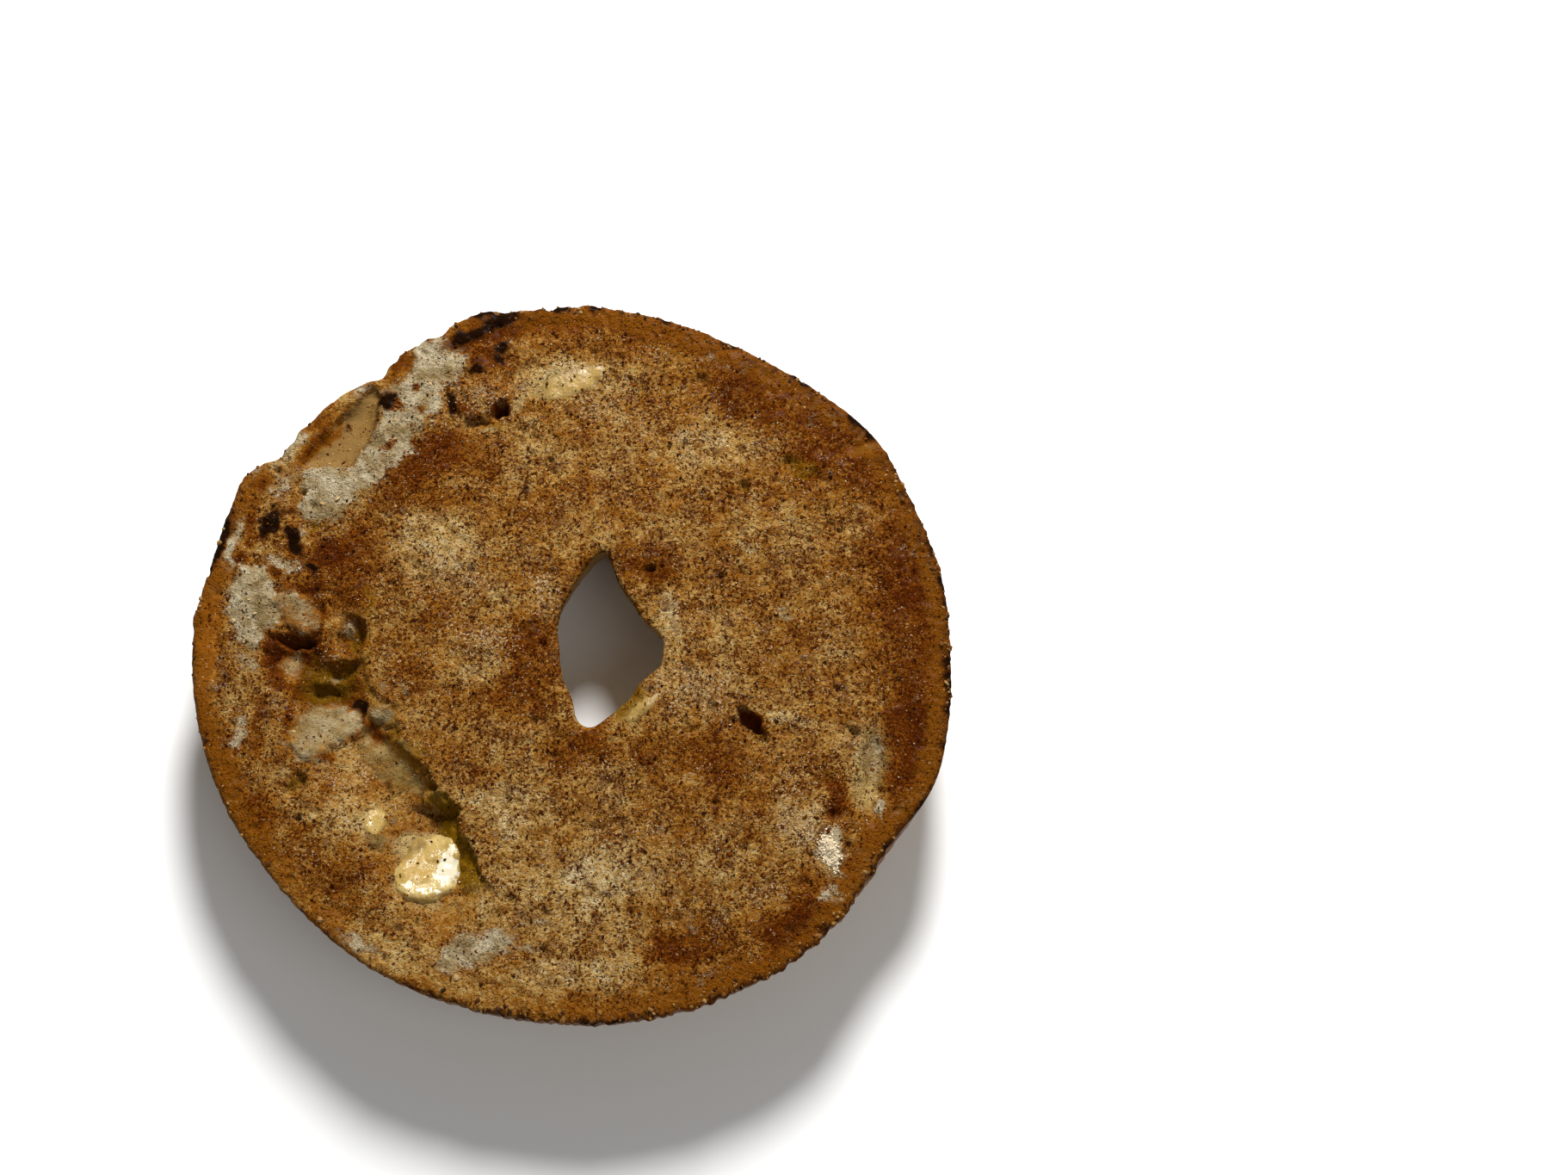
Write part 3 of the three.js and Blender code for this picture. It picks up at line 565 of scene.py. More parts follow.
def surface_kinds(x, y):
    """What the cut face is like at each point: shares from 0 to 1 that the materials and grains read."""
    p = flat(x, y)
    edge = from_rim(x, y)
    turn = np.degrees(np.arctan2(y, x)) % 360
    outwards, drop = nearest_tear(*warped(x, y, 0.8, 1.2, 131))
    below = np.clip(drop / 1.5, 0, 1) * smoothstep(0.1, 1.0, outwards) * (1 - smoothstep(7, 15, outwards))
    beyond = outwards - wall_width(x, y)
    wall = np.clip(drop / 2, 0, 1) * smoothstep(-0.1, 0.3, outwards) * (1 - smoothstep(-0.4, 0.8, beyond))
    pool = wall * smoothstep(-20, -23, y) * smoothstep(-35.5, -33, y)
    skin = smooth_skin(x, y)
    browned = dabs(x, y, BROWNED, 0.6, 1.3)
    pale = dabs(x, y, PALE, 0.7)
    wx, wy = warped(*warped(x, y, 1.6, 3.6, 113), 1.2, 1.2, 117)
    # How dull and shaded the pale crumb is: partly its own tone, partly painted shade.
    dull_and_shaded = np.zeros(len(x))
    for outline, strength, dullness_and_shade in PALE_PARTS:
        inside = smoothstep(-1.1, 1.1, depth_inside(wx, wy, outline))
        pale = np.maximum(pale, strength * inside)
        dull_and_shaded = np.maximum(dull_and_shaded, dullness_and_shade * smoothstep(0.0, 0.3, inside))
    # Less pale crumb on the torn wall: painted shade, darker where the wall lies in shade.
    pale = pale * (1 - 0.9 * browned) * (1 - 0.6 * wall)
    band = smoothstep(5.0, 1.6, edge + 2.2 * layered(p, 5, 211))
    # Darker or paler toast, with painted shade in the recess on the left.
    darker = signed_dabs(x, y, TOASTED_AND_SHADED)
    toast = 0.4 + 0.22 * layered(p, 9, 221) + 0.16 * layered(p, 3, 231) + darker + 0.5 * browned
    east = smoothstep(130, 60, degrees_from(turn, 15))
    side = np.maximum(east, smoothstep(45, 22, np.abs(turn - 185)))
    toast = toast + (0.02 + 0.2 * side) * band + 0.16 * smoothstep(10, 2, edge) * east
    burnt_edge = smoothstep(0.7, 0.0, edge + 2.0 * layered(p, 2.2, 241))
    burnt_edge = burnt_edge * (0.2 + 0.3 * smoothstep(100, 60, degrees_from(turn, 325)))
    north_east = smoothstep(65, 25, degrees_from(turn, 30))
    scorched = 0.32 * north_east * smoothstep(3.4, 0.4, edge + 1.6 * layered(p, 3, 245))
    char = np.maximum(dabs(x, y, CHARRED, 0.9, 1.6), np.maximum(burnt_edge, scorched))
    # Olive soaked crumb, with painted shade in the recess on the left.
    soaked_and_shaded = np.maximum(dabs(x, y, SOAKED_AND_SHADED, 0.8), np.maximum(0.25 * below, 0.7 * wall + 0.3 * pool))
    bubble = smoothstep(-0.4, 0.6, depth_inside(x, y, BUBBLE))
    soaked_and_shaded = np.maximum(soaked_and_shaded, 0.8 * smoothstep(-0.4, 0.4, depth_inside(x, y, OLIVE_LIP)))
    dust = 0.64 + 0.6 * layered(p, 5, 251) + 0.4 * layered(p, 1.8, 255, 2) + 0.9 * darker
    dust = np.clip(dust, 0.08, 1) * (1 - 0.6 * soaked_and_shaded) * (1 - 0.85 * skin)
    dust = dust * (1 - 0.85 * pale) * (1 - 0.6 * below) * (1 - 0.75 * band)
    sweet = np.clip(dabs(x, y, SUGARY) + 0.25 + 0.8 * layered(p, 4, 261), 0.02, 1.2)
    sweet = sweet * (1 - 0.8 * skin) * (1 - 0.85 * band)
    sweet = sweet * (1 - 0.7 * smoothstep(0.5, 0.85, toast))
    return {
        "toast": toast,
        "pale": pale,
        "dull_and_shaded": dull_and_shaded,
        "pool": pool,
        "bubble": bubble * (1 - browned),
        "char": char,
        "soaked_and_shaded": soaked_and_shaded * (1 - 0.6 * pale),
        "creamy": dabs(x, y, CREAMY, 0.9),
        "dust": dust,
        "sweet": sweet * (1 - 0.4 * pale),
        "pit_shade": dabs(x, y, PIT_SHADE_SPOTS, 0.6),
        "band": np.maximum(band * (0.2 + 0.8 * side), bubble),
        "skin": np.maximum(skin, 0.55 * soaked_and_shaded),
        "crust": np.zeros(len(x)),
        "down": np.zeros(len(x)),
    }


# ---------------------------------------------------------------- the bread's mesh


def curl(sweep, fullness):
    """How far a superellipse has curled in and fallen, from 0 upright to 1 lying flat."""
    power = 2 / fullness
    return 1 - np.maximum(np.cos(sweep), 0) ** power, np.minimum(np.sin(sweep) ** power, 1)


def section_point(angle, leg, share):
    """Points of the bread's section at these angles, a share of the way along one of its stretches."""
    out = np.column_stack([np.cos(angle), np.sin(angle)])
    inner = HOLE_CENTRE + hole_radius(angle)[:, None] * out
    outer = rim_radius(angle)[:, None] * out
    across = outer - inner
    width = np.hypot(*across.T)
    across = across / width[:, None]
    if leg == ON_CUT:
        xy = inner + across * (width * share)[:, None]
        return np.column_stack([xy, cut_height(*xy.T)])
    sweep = share * math.pi / 2
    if leg == ON_CRUST:
        tuck, fall = curl(sweep, CRUST_FULLNESS)
        even = even_outline(RIM_RADII, angle) - read_outline(RIM_RADII, angle)
        ragged = rim_radius(angle) - read_outline(RIM_RADII, angle)
        reach = RIM_BULGE * np.sin(2 * sweep) ** 2 - OUTER_TUCK * tuck + even * fall
        reach = reach - ragged * smoothstep(0, 0.3, share)
        xy = outer + across * reach[:, None]
        top = cut_height(*outer.T)
        z = top * (1 - fall)
        p = np.column_stack([xy, z])
        blisters = smoothstep(1.3, 0.2, cell_distance(np.column_stack([54 * angle, z, z]), 3.4, 301))
        few = smoothstep(0.0, 0.5, noise(p, 9, 305))
        skin = 0.28 * layered(p, 11, 311) + 0.1 * layered(p, 2.2, 321) + 0.28 * blisters * few
        skin = skin * np.sin(2 * sweep) ** 0.7
        return p + np.column_stack([out, np.zeros(len(angle))]) * skin[:, None]
    if leg == ON_HOLE:
        sweep = (1 - share) * math.pi / 2
        tuck, fall = curl(sweep, HOLE_FULLNESS)
        xy = inner + across * (HOLE_TUCK * tuck)[:, None]
        z = cut_height(*inner.T) * (1 - fall)
        p = np.column_stack([xy, z])
        dents = 0.3 * layered(p, 5, 331) + 0.1 * layered(p, 1.4, 341)
        p[:, :2] += across * (dents * np.sin(2 * sweep) ** 0.5)[:, None]
        return p
    start = section_point(angle, ON_CRUST, np.ones(len(angle)))
    end = section_point(angle, ON_HOLE, np.zeros(len(angle)))
    p = start + (end - start) * share[:, None]
    lift = 0.16 * np.abs(layered(flat(*p[:, :2].T), 3, 351)) * np.sin(math.pi * share) ** 0.5
    p[:, 2] += lift
    return p


def ring_plan():
    """The leg, share and number of points of each ring, from the hole over the cut, down, under and up."""
    hole, rim = HOLE_RADII.mean(), RIM_RADII.mean()
    count_at_rim = int(2 * math.pi * rim / CUT_SPACING)
    plan = []
    for share in np.linspace(0, 1, CUT_RINGS):
        plan.append((ON_CUT, share, int(2 * math.pi * (hole + (rim - hole) * share) / CUT_SPACING)))
    for share in (np.arange(1, CRUST_RINGS + 1) / CRUST_RINGS) ** 1.25:
        plan.append((ON_CRUST, share, int(count_at_rim * (1 - 0.35 * share))))
    for share in np.arange(1, BASE_RINGS) / BASE_RINGS:
        plan.append((ON_BASE, share, int(count_at_rim * (0.4 - 0.28 * share))))
    for share in np.arange(HOLE_RINGS) / HOLE_RINGS:
        plan.append((ON_HOLE, share, HOLE_SPOKES))
    return plan


def zip_rings(start_a, count_a, start_b, count_b):
    """Triangles between two closed rings whose numbers of points differ."""
    steps = np.concatenate([np.arange(1, count_a + 1) / count_a, np.arange(1, count_b + 1) / count_b])
    from_a = np.arange(len(steps)) < count_a
    order = np.lexsort([~from_a, steps])
    from_a = from_a[order]
    done_a = np.cumsum(from_a) - from_a
    done_b = np.cumsum(~from_a) - ~from_a
    a, b = start_a + done_a % count_a, start_b + done_b % count_b
    next_a, next_b = start_a + (done_a + 1) % count_a, start_b + (done_b + 1) % count_b
    return np.column_stack([a, b, np.where(from_a, next_a, next_b)])


def make_mesh(name, corners, faces, kinds=None, smooth=True):
    """A mesh object from millimetres, with a float attribute for each kind."""
    mesh = bpy.data.meshes.new(name)
    mesh.vertices.add(len(corners))
    mesh.vertices.foreach_set("co", (np.asarray(corners) * MM).astype(np.float32).ravel())
    faces = np.asarray(faces)
    sides = faces.shape[1]
    mesh.loops.add(faces.size)
    mesh.loops.foreach_set("vertex_index", faces.astype(np.int32).ravel())
    mesh.polygons.add(len(faces))
    mesh.polygons.foreach_set("loop_start", np.arange(0, faces.size, sides, dtype=np.int32))
    mesh.update(calc_edges=True)
    mesh.polygons.foreach_set("use_smooth", np.full(len(faces), smooth))
    for kind, values in (kinds or {}).items():
        layer = mesh.attributes.new(kind, "FLOAT", "POINT")
        layer.data.foreach_set("value", np.asarray(values, np.float32))
    mesh.validate()
    piece = bpy.data.objects.new(name, mesh)
    bpy.context.scene.collection.objects.link(piece)
    return piece


def add_disc_map(piece, turn, reach):
    """The map that the bake uses, a disc with the cut face in its middle, from each face corner's place."""
    layer = piece.data.uv_layers.new(name="OFBake")
    uv = 0.5 + np.column_stack([reach * np.cos(turn), reach * np.sin(turn)])
    layer.uv.foreach_set("vector", uv.astype(np.float32).ravel())


CUT_MAP, CRUST_MAP, BASE_MAP = 0.375, 0.45, 0.495  # outer radius of each band on the bake's map


def make_bread():
    plan = ring_plan()
    counts = [count for _, _, count in plan]
    starts = np.cumsum([0] + counts)
    angles = np.concatenate([np.arange(count) / count * 2 * math.pi for count in counts])
    legs = np.repeat([leg for leg, _, _ in plan], counts)
    shares = np.repeat([share for _, share, _ in plan], counts)
    stretches = (ON_CUT, ON_CRUST, ON_BASE, ON_HOLE)
    corners = [section_point(angles[legs == leg], leg, shares[legs == leg]) for leg in stretches]
    corners = np.concatenate(corners)

    kinds = surface_kinds(*corners[:, :2].T)
    kinds["crust"] = (legs != ON_CUT).astype(float)
    kinds["down"] = np.select([legs == ON_CUT, legs == ON_CRUST], [0, shares], 1.0)
    kinds["wall"] = (legs == ON_HOLE) * (1 - shares)
    ragged = shares + 0.16 * layered(corners, 2.4, 361)
    faded = kinds["char"] * smoothstep(0.1, 0.0, ragged)  # char runs only a little way down the crust
    kinds["char"] = np.select([legs == ON_CUT, legs == ON_CRUST], [kinds["char"], faded], 0)
    for kind in ("soaked_and_shaded", "pit_shade", "pale", "dust", "sweet", "skin", "creamy", "dull_and_shaded", "bubble", "pool"):
        kinds[kind] = np.where(legs == ON_CUT, kinds[kind], 0)

    faces, turns, reaches = [], [], []
    # Where each point lies on the bake's map: the hole's wall fills the middle, the crust goes round the cut.
    radius = np.hypot(*corners[:, :2].T)
    on_cut = CUT_MAP * radius / RIM_RADII.max()
    rim_edge = CUT_MAP * rim_radius(angles) / RIM_RADII.max()
    reach = np.select(
        [legs == ON_CUT, legs == ON_CRUST, legs == ON_BASE],
        [on_cut, rim_edge + shares * (CRUST_MAP - rim_edge), CRUST_MAP + shares * (BASE_MAP - CRUST_MAP)],
        0.0,
    )
    centre = CUT_MAP * HOLE_CENTRE / RIM_RADII.max()
    edge = CUT_MAP * hole_radius(angles) / RIM_RADII.max()
    depth = np.where(legs == ON_HOLE, shares, 1.0)
    out = flat(np.cos(angles), np.sin(angles))
    hole_uv = centre + out * (edge * (0.25 + 0.75 * depth))[:, None]
    plain_turn = np.where(legs == ON_CUT, np.arctan2(corners[:, 1], corners[:, 0]), angles)
    for i in range(len(plan)):
        after = (i + 1) % len(plan)
        tris = zip_rings(starts[i], plan[i][2], starts[after], plan[after][2])
        faces.append(tris)
        used_reach, used_turn = reach[tris], plain_turn[tris]
        if plan[i][0] == ON_HOLE:
            spot = hole_uv[tris]
            used_reach = np.hypot(spot[..., 0], spot[..., 1])
            used_turn = np.arctan2(spot[..., 1], spot[..., 0])
        elif plan[after][0] == ON_HOLE:
            used_reach = np.where(legs[tris] == ON_HOLE, BASE_MAP, used_reach)
        turns.append(used_turn)
        reaches.append(used_reach)
    piece = make_mesh("toasted_bread", corners, np.concatenate(faces), kinds)
    add_disc_map(piece, np.concatenate(turns).ravel(), np.concatenate(reaches).ravel())
    return piece


# ---------------------------------------------------------------- materials


class Nodes:
    """Short names for the shader nodes of one material."""

    def __init__(self, name):
        self.material = bpy.data.materials.new(name)
        self.material.use_nodes = True
        self.tree = self.material.node_tree
        self.shader = self.tree.nodes["Principled BSDF"]
        self.place = self.tree.nodes.new("ShaderNodeTexCoord").outputs["Object"]

    def link(self, source, socket):
        if isinstance(source, (int, float, tuple)):
            socket.default_value = source
        else:
            self.tree.links.new(source, socket)

    def value(self, name):
        node = self.tree.nodes.new("ShaderNodeAttribute")
        node.attribute_name = name
        return node.outputs["Fac"]

    def math(self, operation, a, b=0.0, clamp=False):
        node = self.tree.nodes.new("ShaderNodeMath")
        node.operation = operation
        node.use_clamp = clamp
        self.link(a, node.inputs[0])
        self.link(b, node.inputs[1])
        return node.outputs[0]

    def remap(self, value, low, high, to_low=0.0, to_high=1.0):
        node = self.tree.nodes.new("ShaderNodeMapRange")
        node.interpolation_type = "SMOOTHSTEP"
        for socket, number in zip(("From Min", "From Max", "To Min", "To Max"), (low, high, to_low, to_high)):
            self.link(number, node.inputs[socket])
        self.link(value, node.inputs["Value"])
        return node.outputs["Result"]

    def noise(self, size, layers=2.0, keep=0.5, warp=0.0):
        """Noise from 0 to 1 with features of that many millimetres."""
        node = self.tree.nodes.new("ShaderNodeTexNoise")
        node.inputs["Scale"].default_value = 1 / (size * MM)
        node.inputs["Detail"].default_value = layers
        node.inputs["Roughness"].default_value = keep
        node.inputs["Distortion"].default_value = warp
        self.link(self.place, node.inputs["Vector"])
        return node.outputs["Fac"]

    def swing(self, noise, strength):
        """Noise that swings about 0 by that strength, made from noise from 0 to 1."""
        return self.math("MULTIPLY", self.math("SUBTRACT", noise, 0.5), strength)

    def cells(self, size, spread=1.0):
        """Scattered points: the distance to the nearest, in cells, and a number from 0 to 1 of its own."""
        node = self.tree.nodes.new("ShaderNodeTexVoronoi")
        node.inputs["Scale"].default_value = 1 / (size * MM)
        node.inputs["Randomness"].default_value = spread
        self.link(self.place, node.inputs["Vector"])
        split = self.tree.nodes.new("ShaderNodeSeparateColor")
        self.tree.links.new(node.outputs["Color"], split.inputs[0])
        return node.outputs["Distance"], split.outputs[0]

    def ramp(self, value, stops):
        node = self.tree.nodes.new("ShaderNodeValToRGB")
        marks = node.color_ramp.elements
        while len(marks) < len(stops):
            marks.new(1.0)
        for mark, (place, colour) in zip(marks, stops):
            mark.position = place
            mark.color = (*colour, 1)
        self.link(value, node.inputs[0])
        return node.outputs["Color"]

    def mix(self, share, a, b, kind="MIX"):
        node = self.tree.nodes.new("ShaderNodeMix")
        node.data_type = "RGBA"
        node.blend_type = kind
        self.link(share, node.inputs[0])
        for socket, colour in zip((node.inputs[6], node.inputs[7]), (a, b)):
            self.link((*colour, 1.0) if isinstance(colour, tuple) else colour, socket)
        return node.outputs[2]

    def specks(self, size, share, radius):
        """1 inside scattered grains and 0 outside. share, of the cells, may be a socket."""
        distance, own = self.cells(size)
        chosen = self.math("LESS_THAN", own, share)
        return self.math("MULTIPLY", self.remap(distance, radius, radius * 0.6), chosen)

    def bump(self, height, depth, normal=None):
        """A bump of that many millimetres."""
        node = self.tree.nodes.new("ShaderNodeBump")
        node.inputs["Distance"].default_value = depth * MM
        self.link(height, node.inputs["Height"])
        if normal is not None:
            self.link(normal, node.inputs["Normal"])
        return node.outputs["Normal"]


TOAST_COLOURS = [
    (0.0, (0.56, 0.44, 0.24)), (0.22, (0.41, 0.245, 0.07)), (0.45, (0.265, 0.103, 0.0105)),
    (0.7, (0.14, 0.034, 0.0008)), (1.0, (0.05, 0.008, 0.0003)),
]
CRUMB_COLOURS = [(0.32, (0.15, 0.092, 0.028)), (0.48, (0.29, 0.212, 0.103)), (0.64, (0.49, 0.41, 0.265))]
CRUST_COLOURS = [
    (0.0, (0.11, 0.034, 0.004)), (0.08, (0.17, 0.062, 0.009)), (0.28, (0.27, 0.125, 0.026)),
    (0.55, (0.37, 0.215, 0.066)), (0.8, (0.42, 0.28, 0.11)), (1.0, (0.3, 0.155, 0.045)),
]
OLIVE = (0.15, 0.076, 0.002)
POOL = (0.15, 0.072, 0.0008)
CREAM = (0.52, 0.4, 0.17)
ORANGE = (0.19, 0.062, 0.003)
BAKED = (0.17, 0.062, 0.006)
CINNAMON = (0.056, 0.0085, 0.0004)
CINNAMON_DUST = (0.082, 0.0165, 0.0008)
# Pale sugar specks: partly the sugar's own colour, partly painted glints.
SUGAR_AND_GLINT_WHITE = (0.54, 0.37, 0.2)
SCORCHED = (0.07, 0.02, 0.003)
SOOT = (0.012, 0.004, 0.0008)
# Painted shade in the pits and under the lip.
PIT_SHADE_BROWN = (0.09, 0.018, 0.0008)
# Duller, darker crumb: partly its own tone, partly painted shade.
DULL_AND_SHADED_CRUMB = [(0.34, (0.085, 0.045, 0.008)), (0.5, (0.165, 0.1, 0.027)), (0.66, (0.26, 0.175, 0.065))]
BUBBLE_TAN = (0.2, 0.112, 0.032)
BUTTER_COLOURS = [
    (0.0, (0.52, 0.4, 0.17)), (0.4, (0.41, 0.27, 0.075)), (0.7, (0.3, 0.19, 0.05)),
    (1.0, (0.2, 0.115, 0.022)),
]
# Painted highlight on the butter.
BUTTER_HIGHLIGHT = (0.7, 0.63, 0.46)
CREAM_WALL = [(0.3, (0.3, 0.19, 0.06)), (0.7, (0.45, 0.33, 0.14))]


def bread_material():
    n = Nodes("toasted_bread")
    fine, mid, broad = n.noise(0.5, 3, 0.65), n.noise(1.7, 4, 0.6), n.noise(6, 3, 0.5)

    def wavered(name, by, grain=mid):
        return n.math("ADD", n.value(name), n.swing(grain, by))

    # Toast, with painted shade in the recess on the left.
    toast = n.math("ADD", wavered("toast", 0.55), n.swing(fine, 0.85))
    colour = n.ramp(toast, TOAST_COLOURS)
    colour = n.mix(n.math("MULTIPLY", n.remap(wavered("band", 0.8), 0.1, 1.0), 0.8), colour, ORANGE)
    colour = n.mix(n.math("MULTIPLY", n.remap(wavered("creamy", 0.8), 0.25, 1.0), 0.7), colour, CREAM)
    foam = n.math("ADD", n.math("MULTIPLY", mid, 0.3), n.math("MULTIPLY", fine, 0.2))
    foam = n.math("ADD", foam, n.math("MULTIPLY", n.noise(3.4, 2, 0.5, 0.6), 0.5))
    spread = n.math("ADD", 0.52, n.swing(foam, 1.15))
    # Duller crumb, partly painted shade.
    crumb = n.mix(n.value("dull_and_shaded"), n.ramp(spread, CRUMB_COLOURS), n.ramp(spread, DULL_AND_SHADED_CRUMB))
    bare = n.math("ADD", wavered("pale", 1.2), n.swing(broad, 1.0))
    bare = n.math("ADD", bare, n.swing(fine, 0.9))
    edge = n.math("MULTIPLY", n.remap(bare, 0.05, 0.3), n.remap(bare, 0.75, 0.4))
    colour = n.mix(n.math("MULTIPLY", edge, 0.5), colour, BAKED)
    colour = n.mix(n.remap(bare, 0.2, 0.75), colour, crumb)
    colour = n.mix(n.remap(wavered("bubble", 0.35), 0.2, 0.8), colour, BUBBLE_TAN)
    # Olive soaked crumb, with painted shade in the recess on the left.
    colour = n.mix(n.math("MULTIPLY", n.remap(wavered("soaked_and_shaded", 0.4), 0.15, 0.95), 0.8), colour, OLIVE)
    colour = n.mix(n.math("MULTIPLY", n.value("pool"), 0.9), colour, POOL)

    # Cinnamon: a reddish powder, flecks of it and a few bigger crumbs.
    dust = n.value("dust")
    powder = n.math("ADD", n.noise(0.8, 4, 0.7), n.math("MULTIPLY", dust, 0.22))
    powder = n.math("ADD", powder, n.swing(n.noise(2.6, 2, 0.5, 0.5), 0.35))
    colour = n.mix(n.remap(powder, 0.6, 0.78, 0.0, 0.6), colour, CINNAMON_DUST)
    flecks = n.remap(n.math("ADD", n.noise(0.43, 1, 0.5, 0.8), n.math("MULTIPLY", dust, 0.16)), 0.675, 0.705)
    colour = n.mix(n.math("MULTIPLY", flecks, 0.9), colour, CINNAMON)
    for size, share, radius in ((0.7, 1.0, 0.24), (1.5, 0.5, 0.18)):
        dots = n.specks(size, n.math("MULTIPLY", dust, share), radius)
        colour = n.mix(n.math("MULTIPLY", dots, 0.9), colour, CINNAMON)
    # Pale sugar specks, partly painted glints.
    sweet = n.math("ADD", n.noise(0.36, 1, 0.5, 0.6), n.math("MULTIPLY", n.value("sweet"), 0.17))
    sweet = n.remap(sweet, 0.71, 0.76)
    colour = n.mix(n.math("MULTIPLY", sweet, 0.75), colour, SUGAR_AND_GLINT_WHITE)
    # Painted shade: browner in the pits and under the lip.
    colour = n.mix(n.remap(wavered("pit_shade", 0.5), 0.2, 0.8), colour, PIT_SHADE_BROWN)

    crust_tone = n.math("ADD", n.value("down"), n.swing(broad, 0.5))
    crust_tone = n.math("ADD", crust_tone, n.swing(mid, 0.1))
    crust = n.ramp(crust_tone, CRUST_COLOURS)
    crust = n.mix(n.remap(n.noise(2.4, 2, 0.5, 0.5), 0.56, 0.7, 0.0, 0.3), crust, (0.46, 0.31, 0.13))
    crust = n.mix(n.remap(n.noise(1.1, 3, 0.6, 0.4), 0.6, 0.75, 0.0, 0.4), crust, (0.2, 0.085, 0.018))
    crust = n.mix(n.value("wall"), crust, n.ramp(mid, CREAM_WALL))
    colour = n.mix(n.value("crust"), colour, crust)
    burn = wavered("char", 1.3)
    colour = n.mix(n.math("MULTIPLY", n.remap(burn, 0.1, 0.5), 0.8), colour, SCORCHED)
    colour = n.mix(n.remap(burn, 0.38, 0.7), colour, SOOT)
    n.link(colour, n.shader.inputs["Base Color"])

    rough = n.remap(fine, 0.35, 0.65, 0.42, 0.75)
    rough = n.math("SUBTRACT", rough, n.math("MULTIPLY", n.value("soaked_and_shaded"), 0.15))
    rough = n.math("SUBTRACT", rough, n.math("MULTIPLY", sweet, 0.25))
    rough = n.math("ADD", rough, n.remap(burn, 0.1, 0.6, 0.0, 0.5), clamp=True)
    n.link(rough, n.shader.inputs["Roughness"])
    n.shader.inputs["Specular IOR Level"].default_value = 0.02
    n.shader.inputs["Subsurface Weight"].default_value = 0.08
    n.shader.inputs["Subsurface Radius"].default_value = (1.0, 0.45, 0.18)
    n.shader.inputs["Subsurface Scale"].default_value = 0.001
    n.link(n.remap(n.value("crust"), 0.0, 1.0, 0.012, 0.3), n.shader.inputs["Coat Weight"])
    n.shader.inputs["Coat Roughness"].default_value = 0.25

    grain = n.math("ADD", fine, n.math("MULTIPLY", n.noise(0.22, 2, 0.6), 0.5))
    grain = n.math("ADD", grain, n.math("MULTIPLY", n.math("ADD", flecks, sweet), 0.3))
    depth = n.math("SUBTRACT", 1.0, n.math("MULTIPLY", n.value("skin"), 0.85))
    depth = n.math("MULTIPLY", depth, n.math("SUBTRACT", 1.0, n.math("MULTIPLY", n.value("crust"), 0.8)))
    n.link(n.bump(n.math("MULTIPLY", grain, depth), 0.7), n.shader.inputs["Normal"])
    return n.material


def butter_material():
    n = Nodes("butter")
    streaks, fine = n.noise(3.0, 3, 0.55, 0.8), n.noise(0.7, 2, 0.5)
    melt = n.math("ADD", n.value("melted"), n.swing(streaks, 0.9))
    colour = n.ramp(melt, BUTTER_COLOURS)
    # Painted highlights: white patches where light would glint on the butter.
    painted_highlight = n.math("ADD", n.value("painted_highlight"), n.swing(n.noise(1.1, 3, 0.6, 1.0), 2.2))
    colour = n.mix(n.remap(painted_highlight, 0.52, 0.62), colour, BUTTER_HIGHLIGHT)
    crumbs = n.specks(1.0, n.math("MULTIPLY", n.value("melted"), 0.35), 0.18)
    colour = n.mix(n.math("MULTIPLY", crumbs, 0.8), colour, CINNAMON)
    n.link(colour, n.shader.inputs["Base Color"])
    rough = n.math("ADD", n.remap(fine, 0.3, 0.7, 0.1, 0.25), n.math("MULTIPLY", n.value("melted"), 0.3))
    n.link(rough, n.shader.inputs["Roughness"])
    n.shader.inputs["IOR"].default_value = 1.46
    n.shader.inputs["Specular IOR Level"].default_value = 0.3
    n.shader.inputs["Subsurface Weight"].default_value = 0.5
    n.shader.inputs["Subsurface Radius"].default_value = (1.0, 0.75, 0.35)
    n.shader.inputs["Subsurface Scale"].default_value = 0.0018
    n.link(n.bump(n.math("ADD", fine, streaks), 0.16), n.shader.inputs["Normal"])
    return n.material


def grain_material(name, ramp, rough, specular):
    """Loose grains, each with a tone of its own."""
    n = Nodes(name)
    tone = n.math("ADD", n.value("tone"), n.swing(n.noise(0.2), 0.3))
    n.link(n.ramp(tone, ramp), n.shader.inputs["Base Color"])
    n.link(rough, n.shader.inputs["Roughness"])
    n.link(specular, n.shader.inputs["Specular IOR Level"])
    n.link(n.bump(n.noise(0.1), 0.03), n.shader.inputs["Normal"])
    return n.material


def sugar_material(name, dark, light):
    return grain_material(name, [(0.0, dark), (1.0, light)], 0.25, 0.3)


# ---------------------------------------------------------------- butter

# What melts on the bread: the node it stands for, half length, half width, turn, thickness, how melted
# it is from 0 to 1, and the seed of its outline.
BUTTER = [
    ("butter_pat", 5.6, 4.7, 60, 1.7, 0.15, 401),
    ("butter_dab", 2.3, 1.7, 75, 0.32, 0.35, 411),
    ("butter_smear_far", 6.8, 2.5, 22, 0.2, 0.6, 421),
    ("butter_smear_hole", 3.6, 1.3, 42, 0.2, 0.6, 431),
]
# Where the pat has begun to turn clear, and where painted highlights lie on it as white patches.
GOLDEN = [(-20.8, -31.4, 2.4, 3.2, -25, 0.4), (-22.4, -28.6, 3.0, 1.8, 30, 0.5)]
HIGHLIGHT_SPOTS = [
    (-17.0, -31.8, 2.0, 2.8, -20, 1.0), (-16.6, -29.4, 1.7, 1.3, -20, 0.8),
    (-21.8, -34.2, 1.2, 0.6, 10, 0.75), (-19.6, -29.4, 1.2, 0.5, 25, 0.55),
    (-19.0, -34.9, 2.2, 0.6, 0, 0.65), (-28.0, -25.2, 1.0, 0.9, 0, 0.5),
]
SUNK = 0.35  # how deep a lump's underside lies in the bread


